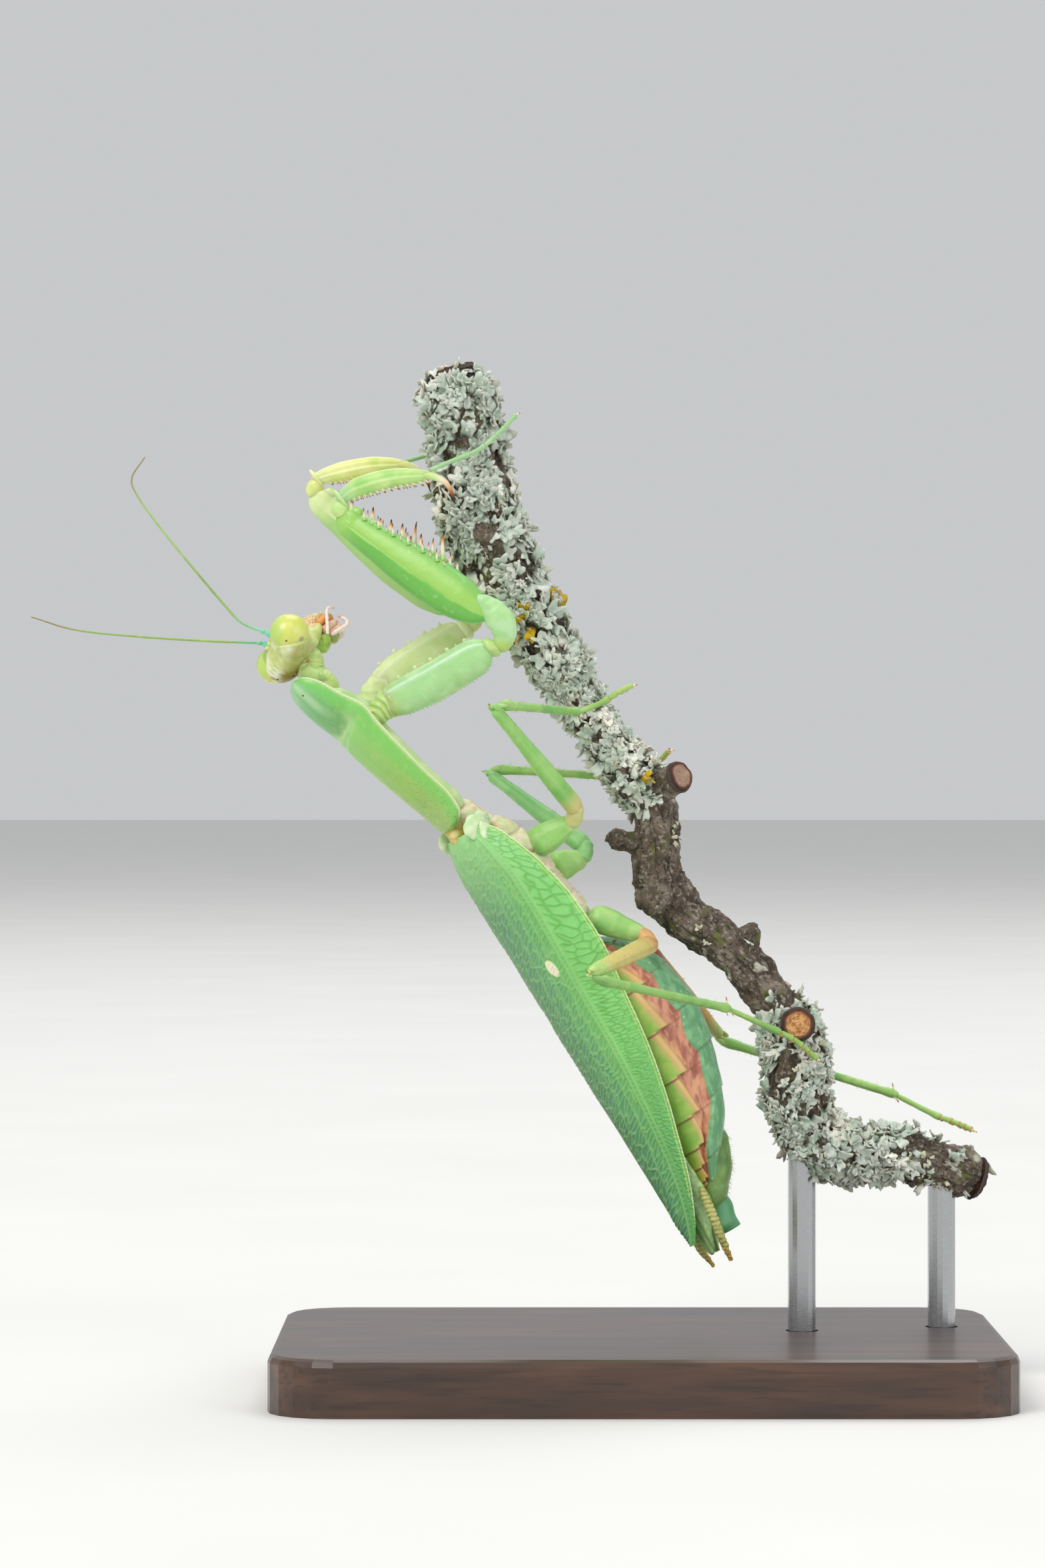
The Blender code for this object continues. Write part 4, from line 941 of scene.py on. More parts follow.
def wing_controls(s, drop):
    """Control points across the right fore wing at s, from its inner edge to its front margin."""
    crease_u, crease_v, margin_u, margin_v, mid_v = sections(WING, s)
    inner = -0.72 * crease_u * np.minimum(1, crease_u / 2.5)
    wide = np.clip((crease_u - 1.5) / 2.5, 0, 1)
    back = [inner + (crease_u - inner) * share for share in (0.0, 0.3, 0.6, 0.85)]
    points = [(u, crease_v + (mid_v - crease_v) * (1 - (u / crease_u) ** 2) - drop) for u in back]
    points += [(crease_u, crease_v - drop * (1 - 0.5 * wide)),
               ((crease_u + margin_u) / 2 + 0.25 * (margin_u - crease_u),
                (crease_v + margin_v) / 2 - drop * (1 - wide)),
               (margin_u, margin_v - drop * (1 - wide))]
    return np.array([join(*p) for p in points])


def wing_veins(s, x, width):
    """Heights of the veins (0 to 1), the pale bands and the white mark, for places s along the
    wing and x across it, 0 on the fold line and positive towards the front margin."""
    warp = noise(join(s, x, 0), 1.9, 3, 2) * 0.3
    size = np.clip(width / 4.6, 0.55, 1.0)
    oblique = s - 0.62 * x + 0.07 * x ** 2
    front = bell(net((oblique + warp) / (0.86 * size), (x + 2 * warp) / (1.55 * size), 11), 0, 0.1)
    fine = net((oblique + warp * 0.6) / 0.5, x / 0.62, 17)
    front = np.maximum(front, 0.3 * bell(fine, 0, 0.12) * step(x / width, 0.5, 0.8))
    away = -x
    back = net((s - 0.85 * away + warp) / 0.62, (away + 0.4 * warp) / 1.25, 23)
    back = np.maximum(bell(back, 0, 0.13), 0.5 * bell(net((s + away) / 0.34, away / 0.4, 29), 0, 0.14)
                      * step(away, 2.2, 3.4))
    veins = np.where(x > 0, front * step(x, 0.15, 0.5), back * step(-x, 0.2, 0.5) * 0.9)
    band = bell(x, 0.22, 0.13) + bell(x, -0.32, 0.13)
    rungs = bell((s / 0.55) % 1, 0.5, 0.2) * (np.abs(x + 0.05) < 0.3) * 0.55
    for start, spread, low, high in ((0.9, 0.016, 2, 50), (1.7, 0.035, 3, 46), (2.7, 0.06, 3, 38)):
        line = start + spread * s + 0.1 * np.sin(s * 0.45 + start)
        band = np.maximum(band, 0.7 * bell(-x, line, 0.12) * step(s, low, low + 3)
                          * (1 - step(s, high - 8, high)))
    edge = (0.95 * bell(width - x, 0.02, 0.13) + 0.4 * bell(width - x, 0.4, 0.14)) * step(x, 0.3, 0.8)
    mark_s, mark_x = s - 18.6, x + 1.75
    turned = (mark_s * 0.97 + mark_x * 0.25, mark_x * 0.97 - mark_s * 0.25)
    mark = 1 - step(np.hypot(turned[0] / 1.15, turned[1] / 0.58), 0.8, 1.1)
    return np.clip(np.maximum(veins, np.maximum(band, rungs)), 0, 1), edge, mark


def build_fore_wing(name, side, drop, finish):
    rows, outer, under = FORE_WING_GRIDS[name]
    s = np.linspace(WING[0][0], WING[-1][0], rows)
    control = wing_controls(s - drop * FAR_WING_SHIFT, drop)
    face = spline(control, np.linspace(0, MARGIN_POINT, outer)).transpose(1, 0, 2)
    paces = np.linalg.norm(np.diff(face, axis=1), axis=2)
    lengths = np.concatenate([np.zeros((rows, 1)), np.cumsum(paces, 1)], 1)
    crease = int(round(CREASE_POINT / MARGIN_POINT * (outer - 1)))
    x = lengths - lengths[:, crease:crease + 1]
    width = x[:, -1:]
    s = s[:, None]
    height, edge, mark = wing_veins(s + 0 * x, x, width)
    run = np.gradient(face, axis=1)
    normal = unit(np.stack([-run[..., 1], run[..., 0]], -1))
    inwards = np.sign((normal * ((0.0, -6.0) - face)).sum(-1, keepdims=True))
    normal = normal * -inwards
    wave = noise(join(s, x, 0), 5.0, 5, 2) * 0.12
    lift = (0.1 * height + 0.07 * edge + 0.05 * mark + wave * step(width - x, 0, 1.2)
            + 0.12 * bell(x, 0, 0.4) - 0.1 * bell(x, 0.95, 0.55) * step(width, 1.5, 3))
    depth = WING_THICKNESS * np.clip(width / 2.0, 0.45, 1)[..., None]
    below = (face - normal * depth)[:, np.linspace(outer - 1, 0, under).astype(int)]
    ring = np.concatenate([face + normal * lift[..., None], below], 1)
    places = BODY.at(s - drop * FAR_WING_SHIFT, side * ring[..., 0], ring[..., 1])

    across = np.where(x > 0, x / np.maximum(width, 0.2), x / np.maximum(-x[:, :1], 0.2))
    shape = Shape()
    shape.grid(places, along=(s - s[0]) / (s[-1] - s[0]), across=upper_only(across, under, 0.2),
               vein=upper_only(height, under), tip=upper_only(np.maximum(edge, mark), under))
    shape.build("fore_wing_" + name, finish, ["tegmen_" + name])


def build_hind_wing(name, side, level, finish):
    """The folded hind wing, whose netted tip shows past the fore wings."""
    rows, columns = 180, 36
    s = np.linspace(HIND_WING[0][0], HIND_WING[-1][0], rows)[:, None]
    crease_u, crease_v, _, _, mid_v = sections(WING, s)
    curve = (mid_v - crease_v) / np.maximum(crease_u, 1.5) ** 2
    u = np.linspace(-0.7, 1.0, columns) * ease(s, *zip(*HIND_WING))
    v = level + mid_v - curve * u ** 2
    height = np.maximum(bell(net(s / 0.8 + 0 * u, u / 0.42, 31), 0, 0.14),
                        bell((u / 0.62) % 1, 0.5, 0.12) * 0.8)
    v = v + 0.05 * height + 0.06 * np.sin(u * 7)
    shape = Shape()
    shape.grid(two_faces(BODY.at(s, side * u, v), BODY.at(s, side * u, v - 0.22)), along=(s - 9) / 45,
               vein=two_faces(height, height))
    shape.build("hind_wing_" + name, finish, ["hindwing_" + name])


def build_pronotum(finish):
    rows = 190
    s = np.linspace(PRONOTUM[0][0], PRONOTUM[-1][0], rows)[:, None]
    half, margin, dome = sections(PRONOTUM, s)
    ends = np.sqrt(np.clip((s - s[0]) / 0.5, 0.02, 1)) * np.sqrt(np.clip((s[-1] - s) / 0.5, 0.02, 1))
    half, dome = half * ends, dome * ends
    turn = np.linspace(0, math.pi, 100)[None, :]
    u = half * np.cos(turn)
    v = margin + dome * np.sin(turn) ** 0.9
    groove = bell(s, -14.3, 0.55) * (0.4 + 0.6 * np.sin(turn))
    groove = np.maximum(groove, 0.8 * bell(s + 0.3 * u, -13.4, 0.3))
    keel = bell(u, 0, 0.16) * step(s, -13, -10) * (1 - step(s, -0.5, 1.2))
    dent = bell(u, 0, 0.1) * (1 - step(s, -15.5, -14.5)) * step(s, -21, -20)
    swell = bell(s, -17.6, 2.2) * np.sin(turn) ** 2 * 0.14
    rough = noise(join(s, u, v), 2.2, 41, 3) * 0.05
    v = v + (0.09 * keel - 0.06 * dent - 0.22 * groove * np.sin(turn) + swell + rough * np.sin(turn))
    flange = bell(np.sin(turn), 0, 0.12)
    teeth = bell((s / 0.4 + 0.15 * scatter(np.floor(s / 0.4).astype(int), seed=3)) % 1, 0.5, 0.22)
    toothed = (1 - step(s, -13.5, -10.5)) * 0.09 + 0.03
    u = u + np.sign(u) * flange * (0.12 + toothed * teeth)
    under = np.linspace(math.pi, 2 * math.pi, 32)[None, 1:-1]
    low_u = half * np.cos(under) * 0.97
    low_v = margin - 0.12 + dome * (0.32 * -np.sin(under))
    below = under.size
    shape = Shape()
    shape.grid(PROTHORAX.at(s, np.concatenate([u, low_u], 1), np.concatenate([v, low_v], 1)),
               along=(s + upper_only(0.3 * u, below) - s[0]) / (s[-1] - s[0]),
               across=upper_only(np.abs(u) / np.maximum(half, 0.3) * (u > 0), below),
               vein=upper_only(flange + 0 * s, below),
               tip=upper_only(bell(np.hypot(s + 19.9, u - 0.75), 0, 0.17), below))
    shape.build("pronotum_shell", finish, ["pronotum"])


def ring_body(table, rows, sides):
    """Rings of an oval body: s, the angle (0 at the back, half a turn below), u and v."""
    s = np.linspace(table[0][0], table[-1][0], rows)[:, None]
    top, bottom, half = sections(table, s)
    a = circle(sides)[None, :]
    u = half * np.sin(a)
    v = (top + bottom) / 2 + (top - bottom) / 2 * np.cos(a)
    return s, a, u, v


# Hinge plates at the root of the fore wings: (place, out, rise), (thickness, height, length)
HINGE_PLATES = (
    ((1.5, 3.2, -0.5), (0.6, 1.6, 1.5)),
    ((3.0, 3.9, -0.8), (0.5, 0.9, 1.9)),
    ((1.0, 2.8, -1.6), (0.7, 1.0, 1.0)),
)


def build_thorax(finish, below, hairs):
    s, a, u, v = ring_body(THORAX, 110, 110)
    places = join(s, u, v)
    side = np.abs(np.sin(a))
    seams = (bell(s + 1.2 * np.cos(a), 6.6, 0.16) + bell(s + 0.9 * np.cos(a), 9.4, 0.2)
             + bell(s - 0.8 * np.cos(a), 13.0, 0.18) + bell(s + 0.4 * np.cos(2 * a), 3.6, 0.16))
    lumps = noise(places, 2.4, 51, 3) * 0.38 + 0.25 * bell(np.abs(a % math.pi - 1.9), 0, 0.35)
    grow = lumps - 0.3 * seams * side
    radial = np.hypot(u, v + 5)
    u, v = u * (1 + grow / np.maximum(radial, 1)), v + (v + 5) * grow / np.maximum(radial, 1)
    streaks = np.clip(noise(places * (1.0, 0.5, 0.5), 1.3, 55, 3) - 0.25, 0, 1) * 1.6 * (1 - step(s, 4.5, 8))
    shape = Shape()
    shape.grid(BODY.at(s, u, v), along=(s - 1.2) / 16, vein=np.clip(streaks + 0.25 * seams * side, 0, 1))
    add_hairs(hairs, BODY.at(s, u, v), "chest")
    # Folded skin between the two parts of the body
    for path, radii, dull in (
            (((-20.7, -0.6, 62.9), (-18.6, -0.9, 61.7), (-16.1, -1.0, 59.8), (-13.2, -0.8, 58.2)),
             ((0, 1.1), (0.3, 1.5), (0.7, 1.7), (1, 1.4)), 0.0),
            (((-21.0, -1.0, 61.4), (-20.2, -1.6, 60.5), (-19.5, -2.1, 59.5), (-18.9, -2.2, 58.2)),
             ((0, 0.8), (0.4, 1.1), (0.8, 1.0), (1, 0.6)), 1.0)):
        limb = Limb(path, radii, 56, 76)
        creases = noise(limb.grid * (0.45, 1.0, 1.0), 0.7, 58, 3)
        limb.swell(0.16 * creases)
        limb.put(shape, across=dull, vein=np.clip(-creases, 0, 1) * 0.7)
    # The hinge plates at the root of each fore wing
    for sign in (1, -1):
        for (place, out, rise), sizes in HINGE_PLATES:
            ball(shape, BODY.at(place, sign * out, rise), (BODY.right, BODY.back, -BODY.ahead), sizes, 28, 36,
                 (0.8, 57, 3, 0.14), tip=0.75)
    shape.build("thorax_skin", finish, ["pterothorax"])

    s, a, u, v = ring_body(PROSTERNUM, 80, 56)
    v = v + noise(join(s, u, v), 1.4, 61, 3) * 0.12 * (1 - np.cos(a)) / 2
    shape = Shape()
    shape.grid(PROTHORAX.at(s, u, v), along=(s + 18.6) / 19.2, across=np.cos(a))
    shape.build("chest_underside", below, ["prosternum"])


BACK_PLATES = (16.0, 21.2, 24.8, 29.9, 35.2, 39.6, 42.9, 44.9, 46.4, 48.4)
BELLY_PLATES = (16.0, 19.6, 24.3, 29.2, 34.0, 39.0, 44.5, 50.0)
# Where the back plates end and the belly plates start: s, and the angle from the back
BACK_END = ((18, 1.5), (23, 1.44), (31, 1.27), (37, 1.26), (42, 1.33), (45, 1.15), (48, 1.2))
BELLY_START = ((18, 1.75), (28, 1.72), (31.5, 1.68), (34, 1.74), (37.5, 1.77), (42, 1.6), (45, 1.35),
               (48, 1.4))


def plate_edge(s, edges, depth, curve=0.0):
    """Height of overlapping plates at s: each rises towards its rear edge, then drops."""
    height, line = 0 * s, 0 * s
    for start, end in zip(edges, edges[1:]):
        inside = (s >= start + curve) & (s < end + curve)
        share = (s - start - curve) / (end - start)
        height = np.where(inside, depth * share ** 2, height)
        line = np.maximum(line, bell(s, end + curve + 0.06, 0.12))
    return height, line


def build_abdomen(finish):
    s, a, u, v = ring_body(ABDOMEN, 340, 160)
    u = u * np.clip(np.minimum((s - 17.9) / 1.2, (48.2 - s) / 1.2), 0.02, 1) ** 0.5
    fold = np.abs(((a + math.pi) % (2 * math.pi)) - math.pi)      # 0 on the back, pi below
    rear = np.interp(s, BACK_PLATES, np.arange(len(BACK_PLATES))) % 1
    back_end = ease(s, *zip(*BACK_END)) + 0.24 * (rear - 0.6)
    belly_start = ease(s, *zip(*BELLY_START))
    corner = np.interp(s, BELLY_PLATES, np.arange(len(BELLY_PLATES))) % 1
    belly_start = belly_start - 0.12 * (np.sin(corner * math.pi * 0.85) - 0.5)
    belly = step(fold, belly_start - 0.05, belly_start + 0.05)
    skin = step(fold, back_end - 0.05, back_end + 0.05) * (1 - belly)
    back_height, back_line = plate_edge(s + 0 * fold, BACK_PLATES, 0.16, 0.25 * np.sin(fold * 2))
    belly_height, belly_line = plate_edge(s + 0 * fold, BELLY_PLATES, 0.16, 0.3 * np.sin(fold * 2))
    uneven = noise(join(s, u, v), 2.5, 73, 2) * 0.06
    wrinkles = noise(join(s * 0.22, fold * 4.2, np.sign(np.sin(a))), 0.35, 71, 2)
    folds = bell((s - 24.8) % 4.9, 2.4, 2.2) - 1.6 * bell((s - 24.8 - 5 * (fold - 1.5)) % 4.9, 0.5, 0.35)
    grow = (0.75 * belly * bell(s, 42.4, 3.6)
            + (1 - skin) * (0.12 + np.where(belly > 0.5, belly_height, back_height))
            - skin * (0.3 + 0.1 * folds) + skin * wrinkles * 0.14 + uneven
            + 0.07 * (bell(fold, back_end - 0.08, 0.04) + bell(fold, belly_start + 0.07, 0.04)))
    places, tops, bottoms, _ = np.array(ABDOMEN).T
    middle = (np.interp(s, places, tops) + np.interp(s, places, bottoms)) / 2
    radial = np.maximum(np.hypot(u, v - middle), 0.8)
    u, v = u * (1 + grow / radial), v + (v - middle) * grow / radial
    tone = 0.5 * step(fold, back_end - 0.04, back_end + 0.04) + 0.5 * belly
    edge = np.clip(bell(fold, back_end - 0.07, 0.1) * 0.9 + 0.5 * skin * (np.abs(wrinkles) > 0.45), 0, 1)
    lines = np.where(belly > 0.5, 0.35 * belly_line, back_line * (1 - skin)) + 0.5 * skin * back_line
    shape = Shape()
    shape.grid(BODY.at(s, u, v), along=(s - 17.9) / 30.3, across=tone, vein=edge, tip=np.clip(lines, 0, 1))
    shape.build("abdomen_skin", finish, ["abdomen"])


# s, top v, bottom v, half-width
TAIL_PLATE = ((41.9, -7.2, -9.7, 1.7), (43.6, -5.8, -10.0, 2.6), (46.4, -4.5, -8.8, 2.8),
              (48.6, -3.2, -7.1, 2.2), (49.9, -3.2, -6.0, 1.4))
EGG_VALVES = ((48.7, -4.0, -6.4, 1.0), (50.4, -3.6, -6.7, 1.4), (52.0, -3.2, -6.3, 1.3),
              (53.0, -4.2, -6.4, 0.8))


def build_tail(finishes, hairs):
    """The hairy plate under the end of the abdomen, the egg-laying valves and the two feelers
    behind, called cerci."""
    s, a, u, v = ring_body(TAIL_PLATE, 70, 64)
    ends = np.clip(np.minimum((s - 41.7) / 0.8, (50.1 - s) / 0.8), 0.03, 1) ** 0.5
    v = v + noise(join(s, u, v), 1.2, 81, 3) * 0.12
    shape = Shape()
    shape.grid(BODY.at(s, u * ends, v), along=(s - 41.7) / 6.7, across=np.cos(a))
    add_hairs(hairs, BODY.at(s, u * ends, v), "tail")
    shape.build("tail_plate", finishes["tail"], ["subgenital_plate"])

    shape = Shape()
    for offset, squeeze in ((0.0, 1.0), (0.55, 0.62)):
        s, a, u, v = ring_body(EGG_VALVES, 44, 44)
        split = bell(u, 0, 0.14) * 0.2 * (np.cos(a) < 0)
        shape.grid(BODY.at(s - 0.3 - offset, u * squeeze, v + split + 0.18 * offset), along=(s - 48.7) / 4.1)
    shape.build("egg_valves", finishes["valve"], ["ovipositor"])

    for side, name in ((1, "r"), (-1, "l")):
        path = BODY.at(np.array((47.0, 49.8, 52.6, 55.0)), side * np.array((2.2, 2.7, 2.6, 2.1)),
                       np.array((-3.2, -2.5, -2.1, -2.1)))
        limb = Limb(path, ((0, 0.36), (0.2, 0.5), (0.5, 0.5), (0.85, 0.36), (1, 0.22)), 26, 130)
        beads = np.abs(np.sin(limb.share * math.pi * 17 + 0.4 * np.sin(limb.angle * 2))) ** 0.7
        limb.swell(0.05 * beads - 0.04 + noise(limb.grid, 0.26, 83, 2) * 0.08)
        shape = Shape()
        limb.put(shape, vein=1 - beads)
        shape.build("cercus_skin_" + name, finishes["cercus"], ["cercus_" + name])


# ---------------------------------------------------------------- head

# Ovals that melt into the head capsule, in the head's own frame (forward, left, up):
# centre, half-sizes, and the lean of the long axis forward
HEAD_OVALS = (
    ((-0.7, 0.0, -0.1), (1.85, 2.9, 1.75), 0.0),
    ((-0.7, 2.0, 0.0), (1.8, 1.65, 1.95), 0.0),
    ((-0.7, -2.0, 0.0), (1.8, 1.65, 1.95), 0.0),
    ((0.3, 0.0, -0.5), (1.35, 1.6, 1.7), 0.0),
    ((-0.3, 0.0, -2.4), (1.4, 1.75, 2.2), 0.0),
    ((-1.2, 1.45, -2.7), (0.75, 0.48, 2.6), 0.47),
    ((-1.2, -1.45, -2.7), (0.75, 0.48, 2.6), 0.47),
    ((1.1, 0.0, -4.4), (0.85, 1.25, 2.9), 0.12),
)
MELT = 0.3                   # how far the ovals run into each other
HEAD_REACH = 9.0             # nothing of the head is farther than this from its middle
HALVINGS = 20                # steps of the search for the surface along each ray
EYE_CENTRE = (0.1, 2.68, -0.08)
EYE_HALF = (2.06, 1.88, 2.17)
# Sides the right and left pupil spots face, and the centre of the worn patch of the right eye
EYE_SPOTS = {"r": (-0.52, -0.34, 0.78), "l": (-0.52, 0.34, 0.78)}
EYE_SCAR = (-0.89, -0.43, 0.08)
# Cheek feelers, lip feelers, jaw blades and jaws on one side: points, thickness, and how orange
# the tip is (0 for the white jointed feelers)
MOUTH_LIMBS = (
    (((-1.3, 1.5, -5.0), (-0.6, 1.6, -5.6), (0.2, 1.55, -6.3), (0.95, 1.5, -7.0), (1.3, 1.45, -7.6),
      (1.1, 1.4, -8.05)), 0.2, 0.0),
    (((-1.4, 0.8, -6.0), (-1.4, 0.85, -6.7), (-1.35, 0.9, -7.5), (-1.3, 0.9, -8.2), (-0.75, 0.85, -8.7),
      (0.0, 0.75, -8.5)), 0.26, 0.0),
    (((-0.5, 0.85, -5.4), (-0.35, 0.8, -6.4), (-0.2, 0.65, -7.2), (-0.1, 0.35, -7.9)), 0.42, 0.35),
    (((-0.9, 0.5, -5.6), (-0.9, 0.5, -6.5), (-0.85, 0.45, -7.3), (-0.7, 0.35, -7.8)), 0.36, 0.15),
    (((0.4, 0.95, -5.6), (0.65, 0.9, -6.5), (0.7, 0.6, -7.4), (0.65, 0.2, -7.9)), 0.45, 0.6),
)


def oval_distance(points, centre, sizes, lean):
    local = points - centre
    c, s = math.cos(lean), math.sin(lean)
    turned = join(local[..., 0] * c + local[..., 2] * s, local[..., 1],
                  local[..., 2] * c - local[..., 0] * s) / sizes
    size = np.linalg.norm(turned, axis=-1)
    return size * (size - 1) / np.maximum(np.linalg.norm(turned / sizes, axis=-1), 1e-6)


def melted(ovals, centre, rows, sides):
    """Grid of points where rays from the centre leave a group of ovals melted together."""
    rays = globe(rows, sides, 0.02)
    near, far = np.zeros(rays.shape[:2]), np.full(rays.shape[:2], HEAD_REACH)
    for _ in range(HALVINGS):
        middle = (near + far) / 2
        points = np.array(centre) + rays * middle[..., None]
        total = sum(np.exp(-oval_distance(points, *oval) / MELT) for oval in ovals)
        inside = -MELT * np.log(np.maximum(total, 1e-300)) < 0
        near, far = np.where(inside, middle, near), np.where(inside, far, middle)
    return np.array(centre) + rays * near[..., None]


def build_capsule(finish):
    """The head with its eye sockets, face and cheek shelves, and its small eyes. Returns its
    surface."""
    places = melted(HEAD_OVALS, (-0.2, 0.0, -2.2), 210, 230)
    forward, left, up = places[..., 0], places[..., 1], places[..., 2]
    side = np.abs(left)
    to_eye = np.linalg.norm((join(forward, side, up) - EYE_CENTRE) / EYE_HALF, axis=-1)
    rim = bell(to_eye, 1.045, 0.035)
    shelf = bell(forward + 1.9 - 0.55 * (up + 2.7), 0, 0.3) * step(side, 0.9, 1.3) * step(-up, 0.6, 1.6)
    seam = bell(side, 0.62 + 0.1 * up, 0.06) * step(up, -0.5, 0.5) * step(-forward, 0.0, 0.8)
    crease = bell(side, 0.95 + 0.2 * (up + 1), 0.08) * step(forward, 0.2, 0.6) * (1 - step(up, 0.4, 0.9))
    face = (1 - step(up, -3.9, -3.7)) * step(forward, -0.4, 0.1)
    steps = bell(up, -3.85, 0.07) + bell(up, -5.7, 0.09)
    grains = np.clip(net(left / 0.26 + forward / 0.26, up / 0.24, 95), 0, 0.5)
    grains = np.clip(1 - 2.2 * (0.5 - grains), 0, 1) * face * (1 - step(-up, 6.3, 6.6))
    streak = np.clip(noise(places * (0.7, 1.9, 0.5), 0.9, 97, 3) * 1.6 + 0.45, 0, 1)
    milky = streak * step(up + 0.3 * forward, 0.3, 1.3) * step(side, 0.25, 0.8)
    # Painted shade: olive on the left side and towards the back of the head, weaker on the right
    painted_shade = np.clip(step(left - 0.5 * up, -0.4, 1.8) * step(-forward, 0.3, 1.7)
                    + 0.45 * step(-forward, 1.5, 2.3), 0, 1)
    grow = (0.07 * rim + 0.09 * shelf - 0.05 * seam - 0.06 * crease - 0.1 * steps * step(forward, -0.8, 0.4)
            + 0.09 * grains + 0.035 * noise(places, 1.3, 99, 3))
    world = in_head(places)
    world = world + grid_normals(world) * grow[..., None]
    shape = Shape()
    shape.grid(world, along=painted_shade, across=milky, vein=np.clip(0.7 * rim + 0.85 * shelf + 0.3 * seam, 0, 1),
               tip=np.clip(face * (0.45 + 0.55 * grains), 0, 1))
    for sign in (-1, 1):
        ball(shape, in_head((1.3, sign * 0.75, 0.35)), HEAD_AXES, (0.5, 0.46, 0.46), 16, 24, vein=0.5)
    for spot in ((1.55, 0.0, 0.45), (1.2, 0.4, 1.05), (1.2, -0.4, 1.05)):
        ball(shape, in_head(spot), HEAD_AXES, (0.24, 0.19, 0.2), 12, 18, vein=1.0)
    # Small tubercles along the front of the face
    for i in range(16):
        share = i / 15
        spot = (1.75 - 0.5 * share, -0.95 + 0.25 * math.sin(i * 2.4), -2.6 - 4.0 * share)
        ball(shape, in_head(spot), HEAD_AXES, (0.16, 0.14, 0.16), 8, 10, vein=0.8)
    shape.build("head_skin", finish, ["head"])
    return world


def build_eyes(finish):
    for sign, name in ((-1, "r"), (1, "l")):
        local = globe(90, 120, 0.03)[..., (0, 2, 1)] * (1, sign, 1)
        dot, scar = (bell(np.arccos(np.clip(local @ unit(aim), -1, 1)), 0, size)
                     for aim, size in ((EYE_SPOTS[name], 0.06), (EYE_SCAR, 0.16)))
        shape = Shape()
        shape.grid(in_head(local * EYE_HALF + np.array(EYE_CENTRE) * (1, sign, 1)),
                   along=step(local[..., 2] + local[..., 0] * 0.6, 0.35, 1.0), across=scar * (name == "r"),
                   vein=np.clip(1 - step(sign * local[..., 1], -0.62, -0.5), 0, 1), tip=dot)
        shape.build("eye_ball_" + name, finish, ["eye_" + name])


def build_neck(finish):
    """The throat sac, the pleated neck and the flat plate on each side of it."""
    throat = in_head(((-0.5, 0.0, -6.0), (-1.15, 0.0, -5.1), (-1.45, 0.1, -4.0), (-1.4, 0.2, -2.8)))
    neck = (in_head((-1.0, 0.1, -1.4)), in_head((-2.2, 0.2, -2.1)), PROTHORAX.at(-21.0, 0.1, -1.15),
            PROTHORAX.at(-19.6, 0.0, -1.25), PROTHORAX.at(-17.8, 0.0, -1.5))
    shape = Shape()
    limb = Limb(throat, ((0, 0.5), (0.25, 0.8), (0.6, 1.05), (1, 1.0)), 80, 96, reach=(0.2, 0.2))
    wide = join(limb.share * 9, np.cos(limb.angle) * 2, np.sin(limb.angle) * 2)
    folds = noise(wide * (1.0, 0.45, 0.45), 1.0, 101, 3)
    limb.swell(0.16 * folds)
    limb.put(shape, vein=np.clip(folds, 0, 1) * 0.5, along=0.0)
    limb = Limb(neck, ((0, 1.1), (0.3, 1.45), (0.6, 1.5), (1, 1.5)), 110, 140, reach=(0.2, 0.2))
    wide = join(limb.share * 30, np.cos(limb.angle) * 1.6, np.sin(limb.angle) * 1.6)
    folds = noise(wide, 1.2, 103, 3)
    pleats = np.sin(limb.share * 95 + 3 * noise(wide, 3.0, 104)) * step(limb.share, 0.25, 0.4)
    limb.swell(0.07 * folds + 0.03 * pleats)
    limb.put(shape, vein=np.clip(folds * 0.7 + 0.25 * pleats, 0, 1), along=1.0)
    for sign in (1, -1):
        lead = np.array((-0.25, -1.0, 0.0)) * sign
        path = []
        for share in (0.38, 0.52, 0.68, 0.86):
            row = int(share * (len(limb.share) - 1))
            column = int(np.argmax(limb.normal[row] @ lead))
            path.append(limb.grid[row, column] - limb.normal[row, column] * 0.02)
        plate = Limb(path, ((0, 0.15), (0.3, 0.6), (0.7, 0.95), (1, 0.9)), 30, 50,
                     np.cross(lead, path[3] - path[0]), 0.22)
        plate.put(shape, vein=0.75, along=1.0, across=0.5)
        ball(shape, path[0], HEAD_AXES, (0.2, 0.2, 0.2), 10, 14, tip=0.75)
    shape.build("neck_skin", finish, ["neck"])


